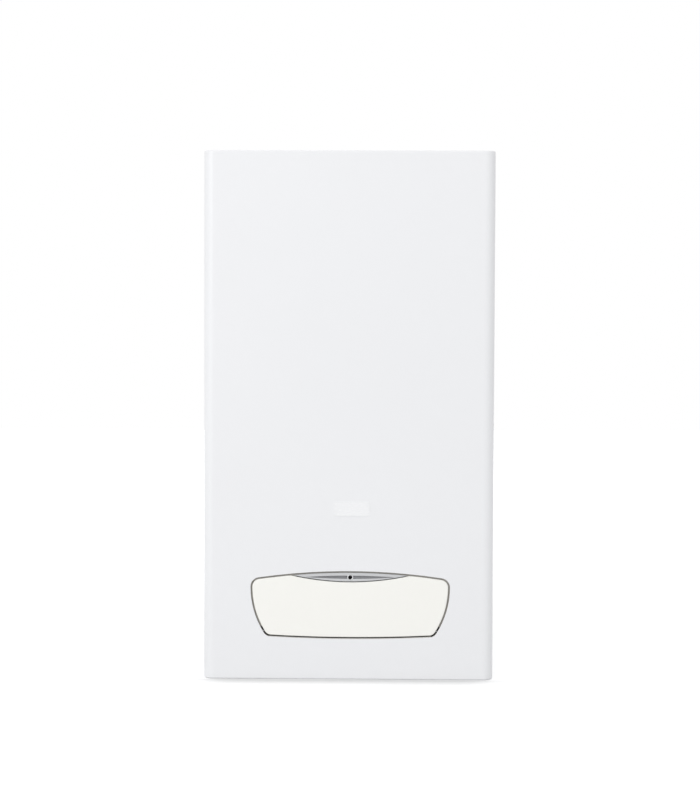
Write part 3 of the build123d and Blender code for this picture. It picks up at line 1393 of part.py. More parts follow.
# Safety valve: a fluted knob on a stem in the boss on the pump's upper neck.
safety_knob_length = 12.0
safety_flute_radius = 2.4
stem_reach = 4.0
safety_knob_end = safety_body_end - safety_knob_length
with BuildPart() as safety_knob:
    rod_across(tail_distance, valve_height, safety_knob_radius, safety_body_end, safety_knob_end)
    with Locations(Location((safety_knob_end, -tail_distance, base + valve_height), (0, 90, 0))):
        with PolarLocations(safety_knob_radius + over, grip_flutes):
            Cylinder(safety_flute_radius, 3 * safety_knob_length, mode=Mode.SUBTRACT)
    rod_across(tail_distance, valve_height, valve_stem_radius, boss_x + stem_reach, safety_body_end)
safety_knob.part.label = "safety_knob"
export_step(safety_knob.part, "parts/safety_knob.step")

# Diverter valve: body over the flow tail, a disc on a sliding spindle and its actuator in front.
diverter_back = tail_distance - diverter_half
diverter_front = tail_distance + diverter_half
diverter_mid = (diverter_low + diverter_high) / 2
diverter_round = 5.0
seat_radius = 15.0
seat_back_wall = 6.0
seat_front_wall = 4.0
with BuildPart() as diverter_body:
    block(flow_x - diverter_half, flow_x + diverter_half, diverter_back, diverter_front, diverter_low,
          diverter_high)
    fillet(diverter_body.edges().filter_by(Axis.Z), radius=diverter_round)
    rod_out(flow_x, diverter_mid, seat_radius, diverter_back + seat_back_wall,
            diverter_front - seat_front_wall, mode=Mode.SUBTRACT)
    rod_out(flow_x, diverter_mid, spindle_radius + stem_clearance,
            diverter_front - seat_front_wall - over, diverter_front + over, mode=Mode.SUBTRACT)
    rod_up(flow_x, tail_distance, heating_bore, diverter_low - over, diverter_high + over,
           mode=Mode.SUBTRACT)
diverter_body.part.label = "diverter_body"
export_step(diverter_body.part, "parts/diverter_body.step")

actuator_depth = 60.0
actuator_step = 5.0
actuator_round = 6.0
actuator_wall = 8.0
spindle_disc_radius = 6.0
spindle_disc = 3.0
disc_clearance = 2.0
disc_radius = seat_radius - 0.4
disc_thickness = 4.0
end_room = 4.0           # room beyond the spindle's discs at each end of its travel
spring_back = diverter_front + actuator_wall
spring_front = spring_back + end_room + spindle_disc + diverter_travel + 2 * end_room
with BuildPart() as diverter_actuator:
    block(flow_x - diverter_half, flow_x + diverter_half, diverter_front, diverter_front + actuator_depth,
          diverter_low + actuator_step, diverter_high - actuator_step)
    fillet(diverter_actuator.edges().filter_by(Axis.Y), radius=actuator_round)
    rod_out(flow_x, diverter_mid, spindle_radius + stem_clearance, diverter_front,
            spring_back + over, mode=Mode.SUBTRACT)
    rod_out(flow_x, diverter_mid, spindle_disc_radius + disc_clearance, spring_back, spring_front,
            mode=Mode.SUBTRACT)
diverter_actuator.part.label = "diverter_actuator"
export_step(diverter_actuator.part, "parts/diverter_actuator.step")

disc_back = diverter_back + seat_back_wall + 2 * end_room
spindle_disc_back = spring_back + end_room
with BuildPart() as diverter_spindle:
    rod_out(flow_x, diverter_mid, spindle_radius, disc_back - disc_thickness / 2,
            spindle_disc_back + 2 * spindle_disc)
    rod_out(flow_x, diverter_mid, disc_radius, disc_back, disc_back + disc_thickness)
    rod_out(flow_x, diverter_mid, spindle_disc_radius, spindle_disc_back,
            spindle_disc_back + spindle_disc)
diverter_spindle.part.label = "diverter_spindle"
export_step(diverter_spindle.part, "parts/diverter_spindle.step")

# Plate exchanger: a stack of pressed plates, ribbed at the edges, beside the diverter.
plate_left = flow_x + diverter_half
plate_pump_gap = 6.0
plate_behind = 35.0      # how far the plates reach behind and before the tails' line
plate_before = 30.0
plate_corner = 10.0
plate_pitch = 3.0
plate_groove = 1.2
plate_end = 4.0
plate_right = return_x - pump_radius - plate_pump_gap
plate_back = tail_distance - plate_behind
plate_front = tail_distance + plate_before
with BuildPart() as plate_exchanger:
    block(plate_left, plate_right, plate_back, plate_front, plate_low, plate_high)
    fillet(plate_exchanger.edges().filter_by(Axis.Z), radius=plate_corner)
    plate_rows = int((plate_high - plate_low - 2 * plate_pitch) / plate_pitch)
    for row in range(plate_rows):
        h = plate_low + plate_end + row * plate_pitch
        for inner, outer in ((plate_front - plate_groove, plate_front + over),
                             (plate_back - over, plate_back + plate_groove)):
            block(plate_left - over, plate_right + over, inner, outer, h, h + plate_groove,
                  mode=Mode.SUBTRACT)
plate_exchanger.part.label = "plate_exchanger"
export_step(plate_exchanger.part, "parts/plate_exchanger.step")

# Heating pipes: flow from the exchanger down to the diverter, return from the pump up to it.
pipe_bend = 20.0
jog_drop = 30.0          # the sideways run lies this far below the sealed chamber
jog_height = chamber_low - jog_drop
flow_jog = 30.0
return_jog = 20.0
with BuildPart() as heating_pipes:
    tube_along([(flow_x, tail_distance, diverter_high), (flow_x, tail_distance, jog_height - flow_jog),
                (pipe_left_x, tube_front_d, jog_height), (pipe_left_x, tube_front_d, tube_height),
                (-pass_end, tube_front_d, tube_height)], pipe_bend, heating_pipe_radius, pipe_wall)
    tube_along([(return_x, tail_distance, neck_top), (return_x, tail_distance, jog_height - return_jog),
                (pipe_right_x, tube_back_d, jog_height), (pipe_right_x, tube_back_d, tube_height),
                (pass_end, tube_back_d, tube_height)], pipe_bend, heating_pipe_radius, pipe_wall)
heating_pipes.part.label = "heating_pipes"
export_step(heating_pipes.part, "parts/heating_pipes.step")

# Gas valve: a cast body with two coils in front, fed from below and piped up to the manifold.
gas_valve_d = 160.0
gas_valve_half = 32.0
gas_valve_behind = 28.0
gas_valve_before = 15.0
gas_valve_back = gas_valve_d - gas_valve_behind
gas_valve_front = gas_valve_d + gas_valve_before
gas_valve_round = 6.0
coil_radius = 13.0
coil_length = 22.0
coil_inset = 2.0
coil_x = gas_valve_half - coil_radius - coil_inset
with BuildPart() as gas_valve:
    block(-gas_valve_half, gas_valve_half, gas_valve_back, gas_valve_front, gas_valve_low, gas_valve_high)
    fillet(gas_valve.edges().filter_by(Axis.Y), radius=gas_valve_round)
    for side in (-1, 1):
        rod_out(side * coil_x, (gas_valve_low + gas_valve_high) / 2, coil_radius, gas_valve_front,
                gas_valve_front + coil_length)
    rod_up(0, gas_valve_d, water_pipe_radius - pipe_wall, gas_valve_low - over, gas_valve_high + over,
           mode=Mode.SUBTRACT)
gas_valve.part.label = "gas_valve"
export_step(gas_valve.part, "parts/gas_valve.step")

gas_pipe_bend = 12.0
gas_rise = 24.0          # from the tray up to the first bend
gas_over = 22.0          # from the valve up to the upper bend
gas_turn = tray_top + gas_rise
gas_cross = gas_valve_high + gas_over
with BuildPart() as gas_pipe:
    tube_along([(0, tail_distance, tail_low), (0, tail_distance, gas_turn), (0, gas_valve_d, gas_turn),
                (0, gas_valve_d, gas_valve_low)], gas_pipe_bend, water_pipe_radius, pipe_wall)
    tube_along([(0, gas_valve_d, gas_valve_high), (0, gas_valve_d, gas_cross), (0, gas_rise_d, gas_cross),
                (0, gas_rise_d, throat_height - manifold_half_height)], gas_pipe_bend,
               water_pipe_radius, pipe_wall)
    rod_up(0, tail_distance, heating_thread_radius, tail_low, tail_low + tail_thread)
    rod_up(0, tail_distance, heating_thread_radius, tray_height - neck_gap, tray_top)
    rod_up(0, tail_distance, heating_thread_radius + collar_rim, tray_top, tray_top + collar_height)
    rod_up(0, tail_distance, water_pipe_radius - pipe_wall, tail_low, tray_top + collar_height,
           mode=Mode.SUBTRACT)
gas_pipe.part.label = "gas_pipe"
export_step(gas_pipe.part, "parts/gas_pipe.step")

# Cable gland in the tray: hexagon body below, dome nut under it and a lock nut above.
gland_hex = gland_radius + 4.0
gland_hex_height = 6.0
gland_nut = gland_radius + 3.0
gland_nut_height = 4.0
gland_dome_height = 10.0
gland_dome_round = 2.0
gland_dome_radius = gland_radius - 1.0
gland_low = tray_height - gland_hex_height - gland_dome_height
with BuildPart() as cable_gland:
    with BuildSketch(level_plane(tray_height - gland_hex_height)):
        with Locations((gland_x, -gland_d)):
            RegularPolygon(gland_hex, 6)
    extrude(amount=gland_hex_height)
    rod_up(gland_x, gland_d, gland_radius, tray_height, tray_top)
    with BuildSketch(level_plane(tray_top)):
        with Locations((gland_x, -gland_d)):
            RegularPolygon(gland_nut, 6)
    extrude(amount=gland_nut_height)
    rod_up(gland_x, gland_d, gland_dome_radius, gland_low, tray_height - gland_hex_height)
    fillet(cable_gland.edges().group_by(Axis.Z)[0], radius=gland_dome_round)
    rod_up(gland_x, gland_d, gland_bore_radius, gland_low - over, tray_top + gland_nut_height + over,
           mode=Mode.SUBTRACT)
cable_gland.part.label = "cable_gland"
export_step(cable_gland.part, "parts/cable_gland.step")
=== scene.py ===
import json
import math
import bpy
from mathutils import Matrix, Vector

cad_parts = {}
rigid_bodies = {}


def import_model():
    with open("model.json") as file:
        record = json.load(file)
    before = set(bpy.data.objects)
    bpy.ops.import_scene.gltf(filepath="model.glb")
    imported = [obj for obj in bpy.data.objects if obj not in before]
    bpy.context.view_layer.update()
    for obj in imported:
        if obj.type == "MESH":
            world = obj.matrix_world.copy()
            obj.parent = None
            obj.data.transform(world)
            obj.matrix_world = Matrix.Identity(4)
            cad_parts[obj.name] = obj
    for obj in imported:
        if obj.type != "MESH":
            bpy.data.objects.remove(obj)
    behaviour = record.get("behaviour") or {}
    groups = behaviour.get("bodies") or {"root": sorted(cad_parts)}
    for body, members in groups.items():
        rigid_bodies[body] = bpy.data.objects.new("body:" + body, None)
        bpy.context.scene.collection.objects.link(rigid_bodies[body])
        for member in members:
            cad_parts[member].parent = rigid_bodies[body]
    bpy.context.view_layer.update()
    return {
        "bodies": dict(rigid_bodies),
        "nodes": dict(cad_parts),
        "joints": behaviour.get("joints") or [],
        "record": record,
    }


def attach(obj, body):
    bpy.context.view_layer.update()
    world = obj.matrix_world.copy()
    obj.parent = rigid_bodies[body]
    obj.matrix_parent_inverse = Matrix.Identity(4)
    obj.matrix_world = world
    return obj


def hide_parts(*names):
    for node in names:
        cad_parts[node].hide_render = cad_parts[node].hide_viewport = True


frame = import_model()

nodes = frame["nodes"]
caseBottom = -0.680
print("stage 1: frame loaded,", len(nodes), "nodes")


# x runs across, out is from the wall, high is from the case bottom, all in mm
def place(x, out, high):
    return Vector((x / 1000, -out / 1000, caseBottom + high / 1000))


# node trees: an input is given a value, or the output it is linked to
def addNode(tree, kind, inputs={}, **values):
    made = tree.nodes.new(kind)
    for key, value in values.items():
        setattr(made, key, value)
    for key, value in inputs.items():
        if isinstance(value, bpy.types.NodeSocket):
            tree.links.new(value, made.inputs[key])
        else:
            made.inputs[key].default_value = value
    return made


def addMath(tree, operation, first, second, clamp=False):
    made = addNode(tree, "ShaderNodeMath", {0: first, 1: second}, operation=operation, use_clamp=clamp)
    return made.outputs[0]


def multiply(tree, first, second, clamp=False):
    return addMath(tree, "MULTIPLY", first, second, clamp)


def addNoise(tree, vector, scale, detail, rough=0.5):
    inputs = {"Vector": vector, "Scale": scale, "Detail": detail, "Roughness": rough}
    return addNode(tree, "ShaderNodeTexNoise", inputs).outputs["Fac"]


def addRange(tree, value, fromRange, toRange=(0, 1)):
    ends = dict(zip(("From Min", "From Max", "To Min", "To Max"), (*fromRange, *toRange)))
    return addNode(tree, "ShaderNodeMapRange", {"Value": value, **ends}).outputs["Result"]


def addBlend(tree, share, first, second):
    inputs = {"Factor": share, "A": first, "B": second}
    return addNode(tree, "ShaderNodeMix", inputs, data_type="RGBA").outputs["Result"]


def objectSpace(tree, scale=(1, 1, 1)):
    spot = addNode(tree, "ShaderNodeTexCoord").outputs["Object"]
    return addNode(tree, "ShaderNodeMapping", {"Vector": spot, "Scale": scale}).outputs["Vector"]


def cameraSees(tree):
    # 1 for what the camera, a mirror or a glass sees
    path = addNode(tree, "ShaderNodeLightPath").outputs
    seen = addMath(tree, "MAXIMUM", path["Is Camera Ray"], path["Is Glossy Ray"])
    return addMath(tree, "MAXIMUM", seen, path["Is Transmission Ray"])


# camera, lights and backdrop
cameraLook = {
    "x": 41.7, "out": 2811.0, "high": 489.5,
    "turn": 0.918, "tilt": -2.217, "roll": 0.208,
    "focal": 1792.2, "pictureHeight": 800,       # both in pixels
    "sensor": 24.0,
}


def makeCamera(look):
    lens = bpy.data.cameras.new("boilerCamera")
    lens.sensor_fit = "VERTICAL"
    lens.sensor_height = look["sensor"]
    lens.lens = look["focal"] * look["sensor"] / look["pictureHeight"]
    lens.clip_end = 50
    cam = bpy.data.objects.new("boilerCamera", lens)
    bpy.context.scene.collection.objects.link(cam)
    cam.matrix_world = (Matrix.Translation(place(look["x"], look["out"], look["high"]))
                        @ Matrix.Rotation(math.radians(look["turn"]), 4, "Z")
                        @ Matrix.Rotation(math.radians(90 + look["tilt"]), 4, "X")
                        @ Matrix.Rotation(math.radians(look["roll"]), 4, "Z"))
    bpy.context.scene.camera = cam


lightLook = {
    "ambient": 0.775, "ambientTint": (0.985, 0.99, 1.0),
    "keyLight": {"power": 66.0, "size": 3.0, "at": (-2520, 3940, 1980), "aim": (0, 300, 370)},
    "topLight": {"power": 8.0, "size": 1.8, "at": (300, 1300, 2700), "aim": (0, 200, 500)},
    "floorSize": 12, "floorGrey": 0.80,
    "floorGlow": (0.42, 0.68), "floorFade": (0.35, 1.2),       # the floor whitens away from the boiler
    "paintedShadowReach": 0.066, "paintedShadowFront": (-0.318, -0.300),   # painted contact shadow in front of the case
}


def addSoftbox(name, look):
    data = bpy.data.lights.new(name, "AREA")
    data.shape = "SQUARE"
    data.size = look["size"]
    data.energy = look["power"]
    lamp = bpy.data.objects.new(name, data)
    bpy.context.scene.collection.objects.link(lamp)
    lamp.location = place(*look["at"])
    lamp.rotation_euler = (place(*look["aim"]) - lamp.location).to_track_quat("-Z", "Y").to_euler()


def makeBackdrop(look):
    world = bpy.data.worlds.new("studioWorld")
    bpy.context.scene.world = world
    world.use_nodes = True
    tree = world.node_tree
    tree.nodes.clear()
    dim = addNode(tree, "ShaderNodeBackground", {
        "Color": (*look["ambientTint"], 1), "Strength": look["ambient"]})
    white = addNode(tree, "ShaderNodeBackground", {"Color": (1, 1, 1, 1), "Strength": 1.0})
    pick = addNode(tree, "ShaderNodeMixShader", {0: cameraSees(tree), 1: dim.outputs[0], 2: white.outputs[0]})
    addNode(tree, "ShaderNodeOutputWorld", {0: pick.outputs[0]})


def makeFloor(look):
    bpy.ops.object.select_all(action="DESELECT")
    bpy.ops.mesh.primitive_plane_add(size=look["floorSize"], location=place(0, 0, 0))
    floor = bpy.context.object
    floor.name = "studioFloor"
    white = bpy.data.materials.new("floorWhite")
    white.use_nodes = True
    tree = white.node_tree
    tree.nodes.clear()
    spot = addNode(tree, "ShaderNodeTexCoord").outputs["Object"]
    seen = cameraSees(tree)
    # painted contact shadow: ambient occlusion darkens the floor's colour and glow in front of the case, for
    # camera rays only
    near = addNode(tree, "ShaderNodeAmbientOcclusion", {"Distance": look["paintedShadowReach"]}, samples=12)
    depth = addNode(tree, "ShaderNodeSeparateXYZ", {0: spot}).outputs["Y"]
    share = multiply(tree, addRange(tree, depth, look["paintedShadowFront"], (1, 0)), seen)
    paintedShadow = addNode(tree, "ShaderNodeMix", {"Factor": share, "A": 1, "B": near.outputs["AO"]})
    paintedShadow = paintedShadow.outputs["Result"]
    matt = addNode(tree, "ShaderNodeBsdfDiffuse", {"Color": multiply(tree, paintedShadow, look["floorGrey"])})
    reach = addNode(tree, "ShaderNodeVectorMath", {0: spot}, operation="LENGTH").outputs["Value"]
    shade = multiply(tree, addRange(tree, reach, look["floorFade"], look["floorGlow"]), paintedShadow)
    shade = multiply(tree, seen, shade)
    glow = addNode(tree, "ShaderNodeEmission", {"Color": (1, 1, 1, 1), "Strength": shade})
    both = addNode(tree, "ShaderNodeAddShader", {0: matt.outputs[0], 1: glow.outputs[0]})
    below = addNode(tree, "ShaderNodeNewGeometry").outputs["Backfacing"]  # seen from below the floor is clear
    clear = addNode(tree, "ShaderNodeBsdfTransparent")
    side = addNode(tree, "ShaderNodeMixShader", {0: below, 1: both.outputs[0], 2: clear.outputs[0]})
    addNode(tree, "ShaderNodeOutputMaterial", {0: side.outputs[0]})
    floor.data.materials.append(white)


makeCamera(cameraLook)
for name in ("keyLight", "topLight"):
    addSoftbox(name, lightLook[name])
makeBackdrop(lightLook)
makeFloor(lightLook)
bpy.context.scene.view_settings.view_transform = "Standard"
print("stage 2: camera and studio")


# effects that several finishes share: the sockets hold what differs from finish to finish
def newEffect(name, inputs, outputs):
    tree = bpy.data.node_groups.new(name, "ShaderNodeTree")
    for label, (kind, value) in inputs.items():
        socket = tree.interface.new_socket(label, in_out="INPUT", socket_type="NodeSocket" + kind)
        socket.default_value = value
    for label, kind in outputs.items():
        tree.interface.new_socket(label, in_out="OUTPUT", socket_type="NodeSocket" + kind)
    return tree, tree.nodes.new("NodeGroupInput").outputs, tree.nodes.new("NodeGroupOutput").inputs


anyVector = ("Vector", (0, 0, 0))
effectLook = {
    "mottleDetail": 4, "mottleRough": 0.55, "mottleRange": (0.3, 0.7),
    "fineDetail": 3, "wideDetail": 5, "wideShare": 0.06, "wideRange": (0.3, 0.7),
    "edgeRange": (0.995, 0.88), "breakScale": 260, "breakDetail": 6, "breakRange": (0.35, 0.6),
    "dustRange": (0.4, 1), "dustScale": 60, "dustDetail": 8,
}


def makeMottle(look):
    # two colours drift into each other over the surface
    tree, given, result = newEffect("mottle", {
        "Colour": ("Color", (0.5, 0.5, 0.5, 1)), "Second": ("Color", (0.4, 0.4, 0.4, 1)),
        "Vector": anyVector, "Scale": ("Float", 12), "Amount": ("Float", 0.5)}, {"Colour": "Color"})
    noise = addNoise(tree, given["Vector"], given["Scale"], look["mottleDetail"], look["mottleRough"])
    share = multiply(tree, addRange(tree, noise, look["mottleRange"]), given["Amount"])
    tree.links.new(addBlend(tree, share, given["Colour"], given["Second"]), result["Colour"])
    return tree


def makeGrain(look):
    # fine height for bump, and roughness that varies over wider spots
    tree, given, result = newEffect("grain", {
        "Vector": anyVector, "Scale": ("Float", 900), "Low": ("Float", 0.3), "High": ("Float", 0.5)},
        {"Height": "Float", "Roughness": "Float"})
    fine = addNoise(tree, given["Vector"], given["Scale"], look["fineDetail"])
    wideScale = multiply(tree, given["Scale"], look["wideShare"])
    wide = addNoise(tree, given["Vector"], wideScale, look["wideDetail"])
    rough = addRange(tree, wide, look["wideRange"], (given["Low"], given["High"]))
    tree.links.new(fine, result["Height"])
    tree.links.new(rough, result["Roughness"])
    return tree


def makeEdgeWear(look):
    # 1 along outer and inner edges, broken up by noise
    tree, given, result = newEffect("edgeWear", {
        "Vector": anyVector, "Radius": ("Float", 0.0008), "Amount": ("Float", 0.5)}, {"Mask": "Float"})
    rounded = addNode(tree, "ShaderNodeBevel", {"Radius": given["Radius"]}, samples=4).outputs["Normal"]
    plain = addNode(tree, "ShaderNodeNewGeometry").outputs["True Normal"]
    match = addNode(tree, "ShaderNodeVectorMath", {0: rounded, 1: plain}, operation="DOT_PRODUCT")
    edge = addRange(tree, match.outputs["Value"], look["edgeRange"])
    noise = addNoise(tree, given["Vector"], look["breakScale"], look["breakDetail"])
    broken = addRange(tree, noise, look["breakRange"])
    tree.links.new(multiply(tree, multiply(tree, edge, broken), given["Amount"], True), result["Mask"])
    return tree


def makeDust(look):
    # settles on what faces up
    inputs = {"Vector": anyVector, "Amount": ("Float", 0.3)}
    tree, given, result = newEffect("dust", inputs, {"Mask": "Float"})
    facing = addNode(tree, "ShaderNodeNewGeometry").outputs["True Normal"]
    rise = addNode(tree, "ShaderNodeSeparateXYZ", {0: facing}).outputs["Z"]
    noise = addNoise(tree, given["Vector"], look["dustScale"], look["dustDetail"])
    both = multiply(tree, addRange(tree, rise, look["dustRange"]), noise)
    tree.links.new(multiply(tree, both, given["Amount"], True), result["Mask"])
    return tree


effects = {"mottle": makeMottle(effectLook), "grain": makeGrain(effectLook),
           "edgeWear": makeEdgeWear(effectLook), "dust": makeDust(effectLook)}
print("stage 3: shared effects")


# what a finish doesn't name comes from here
finishBase = {
    "stretch": (1, 1, 1), "mottleShare": 0.6, "bumpDepth": 0.0001, "spangle": 0, "crystalShare": 0.35,
    "wear": 0, "wearRadius": 0.0007, "dust": 0, "dustColour": (0.52, 0.50, 0.46),
    "metallic": 0, "coat": 0, "coatRough": 0.1, "specular": 0.5, "clear": 0, "bend": 1.5,
}
shaderSockets = {
    "metallic": "Metallic", "coat": "Coat Weight", "coatRough": "Coat Roughness",
    "specular": "Specular IOR Level", "clear": "Transmission Weight", "bend": "IOR",
}


def useEffect(tree, name, inputs):
    return addNode(tree, "ShaderNodeGroup", inputs, node_tree=effects[name]).outputs


def makeFinish(name, look):
    material = bpy.data.materials.new(name)
    material.use_nodes = True
    tree = material.node_tree
    space = objectSpace(tree, look["stretch"])
    plainSpace = objectSpace(tree)
    colour = useEffect(tree, "mottle", {
        "Vector": space, "Colour": (*look["colour"], 1), "Second": (*look["second"], 1),
        "Scale": look["mottle"], "Amount": look["mottleShare"]})["Colour"]
    if look["spangle"]:                          # zinc crystals
        cells = addNode(tree, "ShaderNodeTexVoronoi", {"Vector": plainSpace, "Scale": look["spangle"]})
        grey = addNode(tree, "ShaderNodeSeparateColor", {0: cells.outputs["Color"]}).outputs[0]
        colour = addBlend(tree, multiply(tree, grey, look["crystalShare"]), colour, (*look["crystal"], 1))
    if look["wear"]:
        worn = useEffect(tree, "edgeWear", {
            "Vector": plainSpace, "Radius": look["wearRadius"], "Amount": look["wear"]})
        colour = addBlend(tree, worn["Mask"], colour, (*look["worn"], 1))
    if look["dust"]:
        dust = useEffect(tree, "dust", {"Vector": plainSpace, "Amount": look["dust"]})
        colour = addBlend(tree, dust["Mask"], colour, (*look["dustColour"], 1))
    low, high = look["rough"]
    grain = useEffect(tree, "grain", {"Vector": space, "Scale": look["grain"], "Low": low, "High": high})
    bump = addNode(tree, "ShaderNodeBump", {
        "Height": grain["Height"], "Strength": look["bump"], "Distance": look["bumpDepth"]})
    shader = tree.nodes["Principled BSDF"]
    tree.links.new(colour, shader.inputs["Base Color"])
    tree.links.new(grain["Roughness"], shader.inputs["Roughness"])
    tree.links.new(bump.outputs["Normal"], shader.inputs["Normal"])
    for key, socket in shaderSockets.items():
        shader.inputs[socket].default_value = look[key]
    return material


def paint(colour, second, mottle, rough, grain, bump, **rest):
    return {**finishBase, "colour": colour, "second": second, "mottle": mottle, "rough": rough,
            "grain": grain, "bump": bump, **rest}


